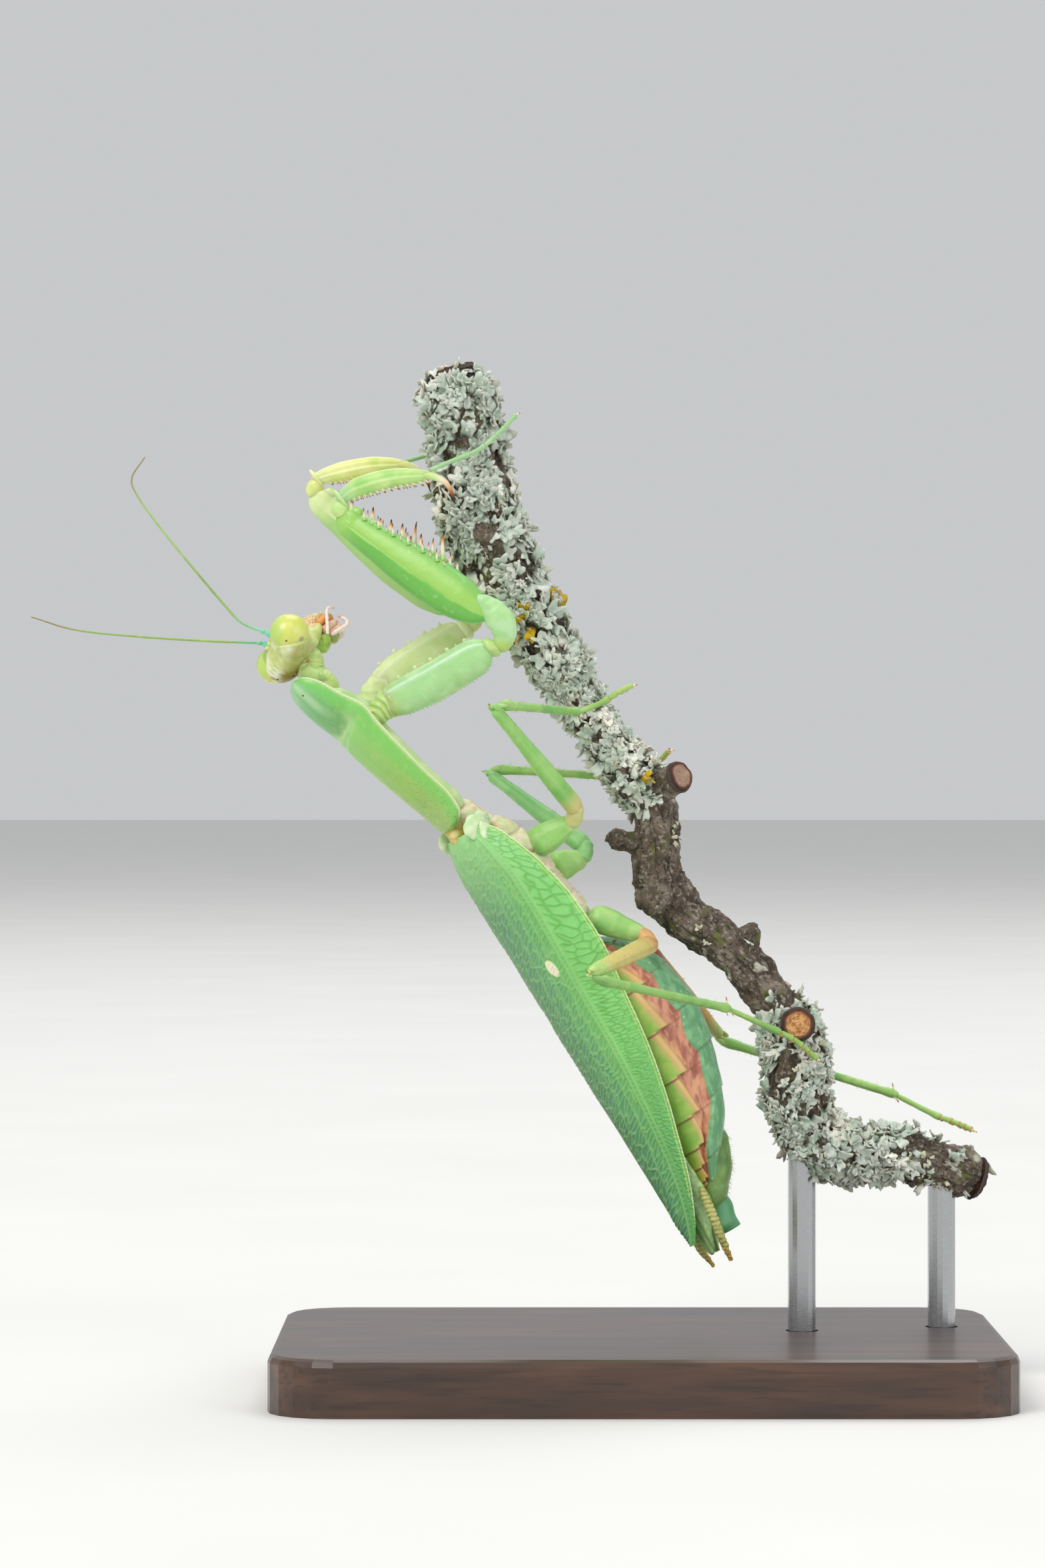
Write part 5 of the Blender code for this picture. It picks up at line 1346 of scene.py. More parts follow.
def build_mouth(finish, world):
    """The mouthparts, and the two dark dots on the back of the head."""
    shape = Shape()
    for spot in ((-1.6, 2.1, 1.35), (-2.3, 1.4, 0.1)):
        away = np.linalg.norm(world - in_head(spot), axis=-1)
        row, column = np.unravel_index(np.argmin(away), away.shape)
        ball(shape, world[row, column], HEAD_AXES, (0.1, 0.1, 0.1), 8, 10, tip=1.0)
    for sign in (-1, 1):
        for points, size, tone in MOUTH_LIMBS:
            points = np.array(points) * (1, sign, 1)
            limb = Limb(in_head(points), ((0, size), (0.5, size), (0.9, size * 0.8), (1, size * 0.5)), 20, 64)
            if tone == 0.0:
                joints = np.abs(np.sin(limb.share * math.pi * (len(points) - 1)))
                limb.swell(-0.07 * (1 - step(joints, 0.0, 0.4)))
                limb.put(shape, tip=0.25 * step(limb.share, 0.93, 1.0), across=1.0, along=0.0)
            else:
                limb.swell(noise(limb.grid, 0.6, 105, 2) * 0.05)
                limb.put(shape, tip=tone * (0.4 + 0.3 * step(limb.share, 0.6, 1.0)), across=0.3, along=0.0)
    # The mouth cavity between the jaws, a ball coloured as painted shadow
    ball(shape, in_head((-0.2, 0.0, -6.3)), HEAD_AXES, (0.95, 0.85, 1.2), 26, 32, (0.6, 106, 2, 0.12),
         vein=1.0)
    ball(shape, in_head((0.95, 0.0, -7.3)), HEAD_AXES, (0.4, 0.75, 0.7), 24, 30, (0.6, 107, 2, 0.05),
         tip=0.35)
    ball(shape, in_head((-1.5, 0.0, -6.5)), HEAD_AXES, (0.5, 0.8, 0.75), 22, 28, (0.6, 108, 2, 0.1),
         along=1.0)
    shape.build("mouth_pieces", finish, ["mouthparts"])


def build_antennae(finish):
    """Each feeler: two swollen blue-green joints, then a thread of short rings."""
    for name, path in ANTENNAE.items():
        sign = 1 if name == "l" else -1
        foot = in_head((1.45, sign * 0.78, 0.4))
        limb = Limb((foot, *path), ((0, 0.25), (0.01, 0.34), (0.028, 0.34), (0.036, 0.18), (0.045, 0.26),
                                    (0.055, 0.24), (0.062, 0.14), (0.4, 0.12), (0.75, 0.1), (1, 0.06)),
                    10, 720)
        beads = np.abs(np.sin(limb.share * math.pi * 90)) ** 0.5 * step(limb.share, 0.06, 0.07)
        limb.swell(0.015 * beads)
        shape = Shape()
        limb.put(shape, vein=(1 - beads) * step(limb.share, 0.07, 0.08) * 0.6)
        shape.build("feeler_" + name, finish, ["antenna_" + name])


# ---------------------------------------------------------------- legs

FORE_LEG_UP = unit((-0.45, 0.0, 0.9))
FOOT_OVERLAP = 0.45          # how far a foot runs back into its shin
# Where the joints of a foot start and end, as shares of its length
FORE_FOOT_JOINTS = (0.0, 0.42, 0.58, 0.71, 0.83, 1.0)
FOOT_JOINTS = (0.0, 0.45, 0.63, 0.77, 0.87, 1.0)


def build_fore_coxa(name, joints, finish):
    """The long hip of a grasping leg, and the wrinkled skin that joins it to the chest."""
    slim = 1.0 if name == "r" else 0.92
    coxa = [(share, half * slim) for share, half in
            ((0, 1.2), (0.1, 1.7), (0.3, 2.0), (0.6, 2.05), (0.85, 1.95), (1, 1.35))]
    limb = Limb(joints["coxa"], coxa, 90, 120, FORE_LEG_UP, 0.62, (0.7, 0.35))
    c, d = np.cos(limb.angle), np.sin(limb.angle)
    ridge = bell(d, 0.72, 0.09) * (c > 0) + bell(d, -0.72, 0.09) * (c > 0)
    saw = bell((limb.share * 26) % 1, 0.5, 0.2) * bell(c, -1, 0.03) * step(limb.share, 0.05, 0.2)
    limb.swell(0.07 * ridge + 0.12 * bell(c, 1, 0.04) + 0.14 * saw - 0.07 * bell(c, 0.25, 0.3)
               + noise(limb.grid, 1.6, 111, 3) * 0.06)
    shape = Shape()
    limb.put(shape, vein=np.clip(0.8 * ridge + 0.6 * bell(c, 1, 0.02) + 0.4 * bell(c, -1, 0.02), 0, 1))
    for share, size in ((0.1, 0.12), (0.22, 0.24), (0.3, 0.12), (0.38, 0.28), (0.46, 0.12), (0.54, 0.26),
                        (0.62, 0.12), (0.7, 0.26), (0.78, 0.12), (0.86, 0.22)):
        foot, normal = limb.spot(share, 0.0)
        ball(shape, foot + normal * size * 0.4, (limb.ahead[0], limb.side[0], normal),
             (size * 0.95, size * 0.8, size * 1.2), 12, 16, vein=0.0, tip=0.15 + 0.35 * size)
    root = np.array(joints["coxa"][0])
    inner = PROTHORAX.at(-12.6, 2.0 if name == "r" else -2.0, -0.6)
    skin = Limb((inner, root + (inner - root) * 0.35, root + limb.ahead[0] * 0.6, root + limb.ahead[0] * 3.0),
                ((0, 1.0), (0.3, 1.35), (0.7, 1.7), (1, 1.5)), 48, 80, FORE_LEG_UP, 0.62, (0.3, 0.3))
    pleats = np.sin(skin.share * 42 + 1.5 * np.sin(skin.angle * 3)) + noise(skin.grid, 0.6, 112, 3)
    skin.swell(0.06 * pleats)
    skin.put(shape, vein=0.3 * np.clip(pleats, 0, 1), along=0.0)
    for share in np.linspace(0.08, 0.97, 30):
        foot, normal = limb.spot(share, math.pi)
        thorn(shape, foot - normal * 0.03, foot + normal * 0.13 + limb.ahead[60] * 0.04, 0.06,
              sides=6, rows=5)
    shape.build("coxa_skin_" + name, finish, ["fore_coxa_" + name])


def build_fore_trochanter(name, joints, finish):
    """The short bent joint between hip and thigh, and the knob at the end of the hip."""
    trochanter = np.array(joints["trochanter"])
    bridge = (trochanter[0], trochanter[1] + (-0.35, 0, -0.3), trochanter[2] + (-0.5, 0, -0.9),
              trochanter[2] + (-2.2, 0.2, 0.5))
    limb = Limb(bridge, ((0, 0.95), (0.25, 1.3), (0.55, 1.5), (0.8, 1.1), (1, 0.6)), 48, 60,
                (0.7, 0.0, 0.7), 0.75, (0.5, 0.3))
    fold = np.sin(limb.share * 9 + limb.angle)
    limb.swell(0.04 * fold + noise(limb.grid, 1.0, 113, 3) * 0.08)
    shape = Shape()
    limb.put(shape, vein=0.25 * bell(fold, 1, 0.4))
    ball(shape, np.add(joints["coxa"][-1], (0.3, 0.1, 0.2)), (FORE_LEG_UP, (0, 1, 0), (1, 0, 0)),
         (1.15, 0.95, 0.9), 24, 32, (0.9, 114, 2, 0.1), vein=0.15)
    shape.build("trochanter_skin_" + name, finish, ["fore_trochanter_" + name])


def thigh_axes(joints):
    """Directions along a grasping thigh, out of its flat side, and across towards its upper edge."""
    along = unit(np.subtract(joints["femur"][1], joints["femur"][0]))
    side = np.array((0.0, -1.0, 0.0))
    side = unit(side - along * (side @ along))
    outwards = np.cross(along, side)
    return along, side, -outwards if outwards[2] < 0 else outwards


# Thorns of a grasping thigh: share of its length, height and radius
OUTER_THORNS = ((0.53, 1.6, 0.34), (0.65, 1.6, 0.34), (0.79, 0.95, 0.28), (0.4, 1.3, 0.28))
INNER_THORNS = [(0.34 + 0.048 * i, 1.2 if i % 2 else 0.6, 0.17 if i % 2 else 0.1) for i in range(12)]
MIDDLE_THORNS = ((0.32, 1.4, 0.2), (0.27, 1.2, 0.19), (0.37, 3.2, 0.3), (0.44, 1.7, 0.22), (0.47, 1.0, 0.15))


def build_fore_femur(name, joints, finish):
    """The grasping thigh with its three rows of thorns: outer ones on broad green feet, inner ones
    by turns short and long, and a few of uneven length between them."""
    along, side, outwards = thigh_axes(joints)
    femur = ((0, 0.75), (0.06, 1.6), (0.2, 2.35), (0.4, 2.5), (0.6, 2.2), (0.8, 1.75), (0.93, 1.45),
             (1, 0.95))
    limb = Limb(joints["femur"], femur, 110, 190, outwards, 0.55, (0.35, 0.2))
    c = np.cos(limb.angle)
    rows = limb.share
    brow = bell(c, 0.86, 0.05) * step(rows, 0.08, 0.2) * (1 - step(rows, 0.86, 0.95))
    gutter = bell(c, 1, 0.03) * step(rows, 0.12, 0.3) * (1 - step(rows, 0.8, 0.9))
    back = bell(c, -1, 0.02)
    line = bell(c + 0.32 - 0.15 * rows, 0, 0.06) * step(rows, 0.05, 0.2) * (1 - step(rows, 0.85, 1))
    knee = bell(rows, 0.955, 0.05)
    limb.swell(0.1 * brow - 0.16 * gutter + 0.1 * back - 0.05 * line + 0.28 * knee * bell(c, 0.75, 0.4)
               - 0.06 * bell(rows, 0.9, 0.02) + noise(limb.grid, 2.2, 115, 3) * 0.05)
    shape = Shape()
    limb.put(shape, across=c, vein=np.clip(0.75 * back + 0.55 * brow, 0, 1))
    upwards = unit((-0.05, 0.0, 1.0))
    for lean, thorns in ((0.5, OUTER_THORNS), (-0.62, INNER_THORNS), (-0.15, MIDDLE_THORNS)):
        for share, tall, radius in thorns:
            foot, normal = limb.spot(share, lean if name == "r" else -lean)
            aim = unit(upwards + normal * 0.12)
            thorn(shape, foot - aim * 0.2, foot + aim * tall, radius, along * 0.06 * tall, 2.0, 12, 12)
    # The rounded lobe beside the knee
    for lean in (0.55, -0.55):
        foot, normal = limb.spot(0.93, lean)
        ball(shape, foot - normal * 0.3 + outwards * 0.2, (along, side, outwards), (0.62, 0.26, 0.7), 18, 22,
             across=0.0, vein=0.15)
    shape.build("fore_femur_skin_" + name, finish, ["fore_femur_" + name])


def build_fore_tibia(name, joints, finish):
    """The grasping shin with its two rows of thorns, the balls of the knee and the end claw."""
    along, side, outwards = thigh_axes(joints)
    points = joints["tibia"]
    tibia = ((0, 0.62), (0.08, 0.82), (0.3, 1.05), (0.6, 0.98), (0.85, 0.72), (0.95, 0.5), (1, 0.3))
    limb = Limb(points, tibia, 64, 120, (-0.3, 0.0, 1.0), 0.7, (0.75, 0.1))
    c = np.cos(limb.angle)
    limb.swell(0.06 * bell(c, 0.55, 0.08) + 0.06 * bell(c, -0.1, 0.1) + 0.08 * bell(c, 1, 0.03)
               - 0.05 * bell(c, 0.2, 0.1) + noise(limb.grid, 1.4, 117, 3) * 0.04)
    shape = Shape()
    limb.put(shape, vein=np.clip(bell(c, 1, 0.04) + 0.4 * bell(c, -0.1, 0.1), 0, 1))
    down = unit((0.25, 0.0, -1.0))
    for lean, count in ((math.pi - 0.45, 13), (math.pi + 0.5, 11)):
        for i in range(count):
            share = 0.1 + 0.83 * i / (count - 1)
            foot, normal = limb.spot(share, lean)
            tall = 0.5 + 0.35 * (i / count)
            thorn(shape, foot - normal * 0.08, foot + unit(down + limb.ahead[64] * 0.9) * tall, 0.15,
                  limb.ahead[64] * 0.05, 1.5)
    knee = np.array(points[0]) - limb.ahead[0] * 0.25
    ball(shape, knee, (FORE_LEG_UP, side, along), (0.95, 0.8, 0.9), 24, 30, (0.7, 118, 2, 0.07), vein=0.2,
         along=0.15)
    ball(shape, knee * 0.5 + np.array(joints["femur"][1]) * 0.5, (along, side, outwards),
         (0.95, 0.75, 1.1), 26, 32, (0.8, 119, 2, 0.08), vein=0.1, along=0.25)
    claw = [np.array(points[-2]) * 0.22 + np.array(points[-1]) * 0.78, *joints["claw"]]
    hook = Limb(claw, ((0, 0.46), (0.22, 0.42), (0.45, 0.33), (0.75, 0.19), (1, 0.04)), 24, 70,
                reach=(0.1, 0.0))
    hook.put(shape, tip=np.clip(hook.share * 1.05 - 0.02, 0, 1) ** 1.15, along=0.8)
    shape.build("fore_tibia_skin_" + name, finish, ["fore_tibia_" + name])


def build_tarsus(node, points, joints, finish, size):
    """A foot of five short joints with pads beneath them and two claws."""
    shape = Shape()
    points = np.array(points, float)
    points[0] -= FOOT_OVERLAP * unit(points[1] - points[0])
    last = len(points) - 1
    for i, (start, end) in enumerate(zip(joints, joints[1:])):
        path = spline(points, np.linspace(start * last, end * last, 6))
        long = float(np.linalg.norm(path[-1] - path[0]))
        limb = Limb(path, ((0, size * 0.72), (0.15, size * 0.8), (0.7, size * 0.86), (0.92, size * 1.12),
                           (1, size * 0.9)), 18, 20, reach=(0.12, 0.02))
        limb.swell(noise(limb.grid, 0.5, 121, 2) * 0.02)
        limb.put(shape, along=(i + np.clip(limb.share, 0, 1)) / 5,
                 vein=bell(limb.share, 1.0, 0.14 / max(long, 0.5)))
        if i < 4:
            ball(shape, path[-1] - (0, 0, size * 0.55), (limb.ahead[-1], limb.side[-1], limb.up[-1]),
                 (size * 0.85, size * 0.6, size * 0.55), 12, 16, vein=0.7)
    tip = points[-1]
    ahead = unit(tip - points[-2])
    out = unit(np.cross(ahead, (0.1, 0.2, 1.0)))
    for sign in (-1, 1):
        thorn(shape, tip - ahead * 0.15, tip + ahead * 0.35 + out * sign * 0.5 - (0, 0, 0.12), size * 0.45,
              ahead * 0.22, 1.1, 10, 10)
    shape.build(node.replace("_tarsus", "_foot"), finish, [node])


def build_coxa(pair, side, joints, finish):
    """The hip of a walking leg."""
    big = 1.25 if pair == "hind" else 1.4
    limb = Limb(joints["coxa"], ((0, 1.2 * big), (0.3, 1.15 * big), (0.6, 0.95 * big), (0.85, 0.8 * big),
                                 (1, 0.85)), 52, 70, (0.3, 0.1, 1.0), 0.8, (0.9, 0.4))
    c = np.cos(limb.angle)
    limb.swell(0.07 * bell(np.sin(limb.angle), 0.5, 0.12) + 0.08 * bell(c, 1, 0.06) - 0.05 * bell(c, 0.4, 0.2)
               + noise(limb.grid, 1.8, 131, 3) * 0.1)
    shape = Shape()
    limb.put(shape, vein=0.4 * bell(limb.share, 1, 0.08))
    shape.build(pair + "_coxa_skin_" + side, finish, [pair + "_coxa_" + side])


def build_femur(pair, side, joints, finish, hairs):
    """The thigh of a walking leg, its knee, and the short joint between hip and thigh."""
    hind = pair == "hind"
    start, end = (np.array(p, float) for p in joints["femur"])
    toward = unit(np.subtract(joints["tibia"][1], joints["tibia"][0]))
    limb = Limb((start, end), ((0, 0.85), (0.06, 1.08), (0.3, 1.05), (0.7, 0.88 if hind else 0.8),
                               (0.9, 0.8 if hind else 0.7), (1, 0.7)), 44, 120, -toward, 0.82, (0.75, 0.35))
    ridges = sum(bell(((limb.angle + k) % (2 * math.pi)), math.pi, 0.12) for k in (0.6, 2.2, 3.8, 5.4))
    limb.swell(0.035 * ridges * (1 - step(limb.share, 0.9, 1)) + noise(limb.grid, 1.2, 133, 2) * 0.03)
    shape = Shape()
    limb.put(shape, vein=0.25 * ridges)
    add_hairs(hairs, limb.grid, "thigh")
    # Two lobes on the outside of the knee and a thorn at its end
    out = unit(np.cross(limb.ahead[-1], toward))
    for sign in (-1, 1):
        ball(shape, end + limb.ahead[-1] * 0.15 + toward * 0.2 + out * sign * 0.36,
             (limb.ahead[-1], toward, out * sign), (0.8, 0.75, 0.24), 18, 22, vein=0.3, along=1.0)
    thorn(shape, end + limb.ahead[-1] * 0.3 - toward * 0.2,
          end + limb.ahead[-1] * 0.95 - toward * 0.45, 0.16, rows=8)
    hip = Limb((joints["coxa"][-1], start), ((0, 0.85), (0.5, 0.95), (1, 0.8)), 40, 30, reach=(0.5, 0.6))
    hip.swell(noise(hip.grid, 0.8, 135, 2) * 0.08)
    hip.put(shape, along=0.0, vein=0.3)
    shape.build(pair + "_femur_skin_" + side, finish, [pair + "_femur_" + side])


def build_tibia(pair, side, joints, finish, hairs):
    """The shin of a walking leg with the thorns at its end."""
    start, end = (np.array(p, float) for p in joints["tibia"])
    ahead = unit(end - start)
    limb = Limb((start, end), ((0, 0.5), (0.04, 0.6), (0.12, 0.5), (0.5, 0.44), (0.9, 0.44), (0.97, 0.52),
                               (1, 0.4)), 32, 120, (0.0, 0.0, 1.0), 0.92, (0.45, 0.25))
    c = np.cos(limb.angle)
    limb.swell(0.03 * bell(c, 1, 0.05) + 0.03 * bell(c, -0.2, 0.1) + noise(limb.grid, 1.0, 137, 2) * 0.02)
    shape = Shape()
    limb.put(shape, vein=0.3 * bell(c, 1, 0.05))
    add_hairs(hairs, limb.grid, "shin")
    turned_in = unit(start - np.array(joints["femur"][1]))
    ball(shape, start - ahead * 0.1, (ahead, turned_in, unit(np.cross(ahead, turned_in))), (0.85, 0.72, 0.6),
         20, 26, vein=0.2)
    down = np.array((0.0, 0.0, -1.0))
    across = unit(np.cross(ahead, down))
    for lean in (-0.5, 0.5):
        foot = end - ahead * 0.25 + across * lean * 0.5 + down * 0.25
        thorn(shape, foot, foot + down * 0.5 + ahead * 0.55 + across * lean * 0.4, 0.11, flare=1.3)
    foot = end - ahead * 0.4 - down * 0.35
    if pair == "hind":
        thorn(shape, foot, foot - down * 0.85 - ahead * 0.1, 0.16, ahead * 0.08)
    shape.build(pair + "_tibia_skin_" + side, finish, [pair + "_tibia_" + side])


def build_legs(finishes, hairs):
    for side in ("r", "l"):
        joints = LEGS["fore_" + side]
        build_fore_coxa(side, joints, finishes["foreleg_" + side])
        build_fore_trochanter(side, joints, finishes["foreleg_" + side])
        build_fore_femur(side, joints, finishes["femur_" + side])
        build_fore_tibia(side, joints, finishes["shin_" + side])
        build_tarsus("fore_tarsus_" + side, joints["tarsus"], FORE_FOOT_JOINTS, finishes["foot_fore"], 0.3)
    for pair in ("mid", "hind"):
        for side in ("r", "l"):
            joints = LEGS[pair + "_" + side]
            build_coxa(pair, side, joints, finishes["coxa"])
            build_femur(pair, side, joints, finishes["femur_" + pair + "_" + side], hairs)
            build_tibia(pair, side, joints, finishes["leg"], hairs)
            build_tarsus(pair + "_tarsus_" + side, joints["tarsus"], FOOT_JOINTS, finishes["tarsus"], 0.37)


# ---------------------------------------------------------------- perch

# Side stubs: foot, tip, radius, and whether the end is a clean cut
STUBS = (
    ((1.4, 2.9, 64.3), (4.5, -0.8, 65.9), 1.75, True),
    ((0.0, 2.9, 58.6), (-3.3, 1.4, 59.2), 1.15, False),
    ((2.2, 1.5, 53.0), (0.4, -1.6, 52.4), 1.65, False),
    ((11.2, 2.0, 46.4), (12.3, 1.2, 49.9), 1.3, False),
    ((16.7, 1.2, 39.0), (16.9, -3.3, 39.3), 1.9, True),
    ((29.2, 4.9, 24.6), (30.1, 3.7, 21.4), 1.3, False),
    ((-15.6, 3.4, 88.8), (-17.2, -0.6, 93.0), 1.5, False),
)


def build_bark(finish):
    """The branch with its side stubs. Returns its surface."""
    path = np.array([row[:3] for row in BRANCH])
    lengths = np.concatenate([[0], np.cumsum(np.linalg.norm(np.diff(path, axis=0), axis=1))])
    profile = [(at / lengths[-1], row[3]) for at, row in zip(lengths, BRANCH)]
    limb = Limb(path, profile, 132, 420, reach=(0.0, 0.0))
    wide = join(limb.share * 60, np.cos(limb.angle) * 2.2, np.sin(limb.angle) * 2.2)
    lumps = noise(limb.grid, 5.0, 141, 3) * 0.32
    cracks = 1 - np.clip(np.abs(noise(wide * (0.55, 1.4, 1.4), 1.0, 143, 3)) * 5, 0, 1)
    grain = noise(limb.grid, 1.0, 145, 4) * 0.24
    scars = bell((limb.share * 46 + 0.3 * noise(wide, 3.0, 147)) % 1, 0.5, 0.06) * 0.1
    limb.swell(lumps + grain - 0.22 * cracks + scars - 0.25)
    shape = Shape()
    limb.put(shape, vein=np.clip(cracks, 0, 1))
    for i, (foot, tip, radius, clean) in enumerate(STUBS):
        foot, tip = np.array(foot), np.array(tip)
        profile = ((0, radius * 1.35), (0.4, radius * 1.1), (0.75, radius * 0.98), (1, radius))
        stub = Limb((foot, tip), profile, 56, 40, reach=(0.3, 0.0))
        rough = noise(stub.grid, 1.0, 149 + i, 4) * 0.26
        stub.swell(rough * (0.7 if clean else 1.0) - 0.1)
        stub.put(shape, vein=np.clip(-rough * 3, 0, 1))
        if not clean:
            for k in range(14):
                place, normal = stub.spot(0.97, k * 0.9)
                size = radius * (0.24 + 0.16 * float(scatter(np.array(k), seed=i)))
                ball(shape, place - normal * size * 0.8, (stub.side[0], stub.up[0], stub.ahead[-1]),
                     (size, size * 0.8, size * 1.1), 10, 12, (0.4, 151, 3, 0.2), vein=0.3)
    shape.build("branch_bark", finish, ["perch"])
    return limb


def build_cut_ends(limb, finish):
    """The cut faces at the two ends of the branch and on the sawn stubs."""
    shape = Shape()
    ends = [(limb.centre[0], -limb.ahead[0], 2.75), (limb.centre[-1], limb.ahead[-1], 2.5)]
    for foot, tip, radius, clean in STUBS:
        if clean:
            ends.append((np.array(tip), unit(np.array(tip) - foot), radius * 0.98))
    for i, (centre, ahead, radius) in enumerate(ends):
        side = unit(np.cross(ahead, (0.2, 0.9, 0.4)))
        up = np.cross(side, ahead)
        share = np.linspace(0.02, 1, 26)[:, None]
        angle = circle(64)[None, :]
        ragged = 1 + 0.06 * noise(join(np.cos(angle), np.sin(angle), i), 0.5, 153, 2)
        level = 0.14 * bell(share, 0.86, 0.09) + 0.05 * np.sin(share * 40) + 0 * angle - 0.5 * share ** 8
        reach = radius * share * ragged
        flat = centre + side * (reach * np.cos(angle))[..., None] + up * (reach * np.sin(angle))[..., None]
        level = level + noise(flat, 0.5, 155, 3) * 0.12
        face = flat + ahead * (level + 0.06)[..., None]
        back = flat[::-1] - ahead * 0.5
        shape.grid(np.concatenate([face, back]), along=np.concatenate([share, share[::-1]]),
                   tip=1.0 if i == 2 else 0.0)
    shape.build("cut_ends", finish)


LOBE_GRID = (5, 5)                            # points along and across a lobe
LOBE_WIDTHS = (0.5, 0.8, 0.85, 1.25, 1.0)     # from its root to its rim


def lobe_field(limb, name, finish, count, seed, pick, size, lift):
    """Many small leafy lobes with forked, rolled ends, growing out of the bark in rosettes.
    pick says how thick they stand at a share of the branch."""
    rng = np.random.default_rng(seed)
    rows, columns = LOBE_GRID
    along = np.linspace(0, 1, rows)[:, None]
    across = np.linspace(-1, 1, columns)[None, :]
    width = np.array(LOBE_WIDTHS)[:, None]
    points, uv, tips = [], [], []
    shares, angles = limb.share[:, 0], limb.angle[0]
    left = 0
    while len(points) < count:
        if left == 0:
            centre_share, centre_angle = rng.uniform(0.004, 0.996), rng.uniform(0, 2 * math.pi)
            left = rng.integers(5, 12)
            if rng.uniform() > pick(centre_share):
                left = 0
                continue
        left -= 1
        share = float(np.clip(centre_share + rng.normal() * 0.008, 0.002, 0.998))
        angle = (centre_angle + rng.normal() * 0.28) % (2 * math.pi)
        if rng.uniform() > pick(share) * 1.3:
            continue
        row = int(np.searchsorted(shares, share).clip(0, len(shares) - 1))
        column = int(angle / (2 * math.pi) * len(angles)) % len(angles)
        foot, normal = limb.grid[row, column], limb.normal[row, column]
        off_angle = (angle - centre_angle + math.pi) % (2 * math.pi) - math.pi
        heading = math.atan2(off_angle * limb.half[row], (share - centre_share) * limb.length)
        heading += rng.normal() * 0.7
        ahead = limb.ahead[row]
        round_ = unit(np.cross(normal, ahead))
        way = ahead * math.cos(heading) + round_ * math.sin(heading)
        way = unit(way - normal * (way @ normal))
        side = np.cross(normal, way)
        long = size * rng.uniform(0.8, 1.6)
        wide = size * rng.uniform(0.35, 0.72)
        rise = lift * rng.uniform(0.3, 1.5)
        curl = rng.uniform(-0.3, 1.1)
        twist = rng.normal() * 0.4
        notch = rng.uniform(0.2, 0.85)
        cup = rng.uniform(-0.3, 0.9)
        x = along * long * (1 - notch * 0.45 * bell(across, 0, 0.35) * (along > 0.7))
        y = across * wide * width + twist * along ** 2 * long * 0.5
        z = (rise * long * along ** 1.2 - curl * long * along ** 3 * 0.45 + cup * wide * across ** 2
             + rng.normal(0, 0.05, (rows, columns)) * size + 0.05)
        face = foot + way * x[..., None] + side * y[..., None] + normal * z[..., None]
        thick = 0.1 * size + 0.04
        down = unit(np.cross(np.gradient(face, axis=0), np.gradient(face, axis=1)))
        down = np.where((down @ normal)[..., None] > 0, -down, down)
        points.append(two_faces(face, face + down * thick))
        local = join((along - 0.5) * MAP_PATCH[0], across * MAP_PATCH[1])
        uv.append(map_place(share, angle / (2 * math.pi)) + two_faces(local, local))
        fade = along * (0.8 + 0.2 * np.abs(across))
        tips.append(two_faces(fade, fade))
    ring = 2 * columns
    number = np.arange(rows * ring).reshape(rows, ring)
    after = np.roll(number, -1, 1)
    quads = np.stack([number[:-1], number[1:], after[1:], after[:-1]], -1).reshape(-1, 4)
    caps = [[number[row, i], number[row, i + 1], number[row, ring - 2 - i], number[row, ring - 1 - i]][::turn]
            for row, turn in ((0, 1), (rows - 1, -1)) for i in range(columns - 1)]
    quads = np.concatenate([quads, np.array(caps)])
    offset = np.arange(count)[:, None, None] * rows * ring
    shape = Shape()
    shape.add(np.array(points), [(quads + offset).reshape(-1, 4)], uv=np.array(uv).reshape(-1, 2),
              tip=np.array(tips).reshape(-1), vein=np.tile(np.arange(ring) >= columns, rows * count))
    shape.build(name, finish, mapped=True)


# Lichen: piece, look, lobes, seed, the stretch of the branch it grows on, size and lift
LICHEN = (
    ("lichen_upper", "lichen", 1400, 5, (0, 0.34), 1.12, 0.45),
    ("lichen_top_frill", "lichen_bright", 700, 15, (0, 0.36), 0.8, 0.9),
    ("lichen_lower", "lichen", 1300, 6, (0.3, 1), 0.98, 0.42),
    ("lichen_low_frill", "lichen_bright", 700, 16, (0.3, 1), 0.72, 0.8),
)


def build_lichen(limb, finishes):
    def thick(share):
        """Lichen leaves the dark middle of the branch, a stretch above it and the low end barer."""
        bare = step(share, 0.44, 0.47) * (1 - step(share, 0.68, 0.71)) + step(share, 0.9, 0.93) * 0.75
        return float(np.clip(1 - bare * 0.97 - 0.9 * bell(share, 0.27, 0.014), 0.015, 1))

    for name, look, count, seed, (low, high), size, lift in LICHEN:
        lobe_field(limb, name, finishes[look], count, seed,
                   lambda share: thick(share) * (low < share < high), size, lift)
    lobe_field(limb, "lichen_crumbs", finishes["lichen_pale"], 400, 7,
               lambda share: 0.5 + 0.5 * thick(share), 0.42, 0.8)
    lobe_field(limb, "lichen_yellow", finishes["lichen_yellow"], 48, 8,
               lambda share: float(bell(share, 0.25, 0.006) + 0.6 * bell(share, 0.43, 0.003)), 1.0, 0.9)


# ---------------------------------------------------------------- studio

CAMERA_PLACE = (-0.01257, -0.569, 0.065)
CAMERA_LENS = 121.4
MIDDLE = (-0.012, 0.0, 0.06)                  # where the lights point
# Lights: name, place, size, watts, colour
LIGHTS = (
    ("key", (-1.0, -1.3, 1.8), 1.3, 30.0, (1.0, 0.98, 0.95)),
    ("fill", (1.4, -1.2, 0.7), 1.2, 7.0, (0.95, 0.97, 1.0)),
    ("top", (0.3, 0.9, 1.9), 1.2, 14.0, (1.0, 1.0, 1.0)),
)
SKY = (0.86, 0.88, 0.90, 1.0)
SKY_STRENGTH = 0.66


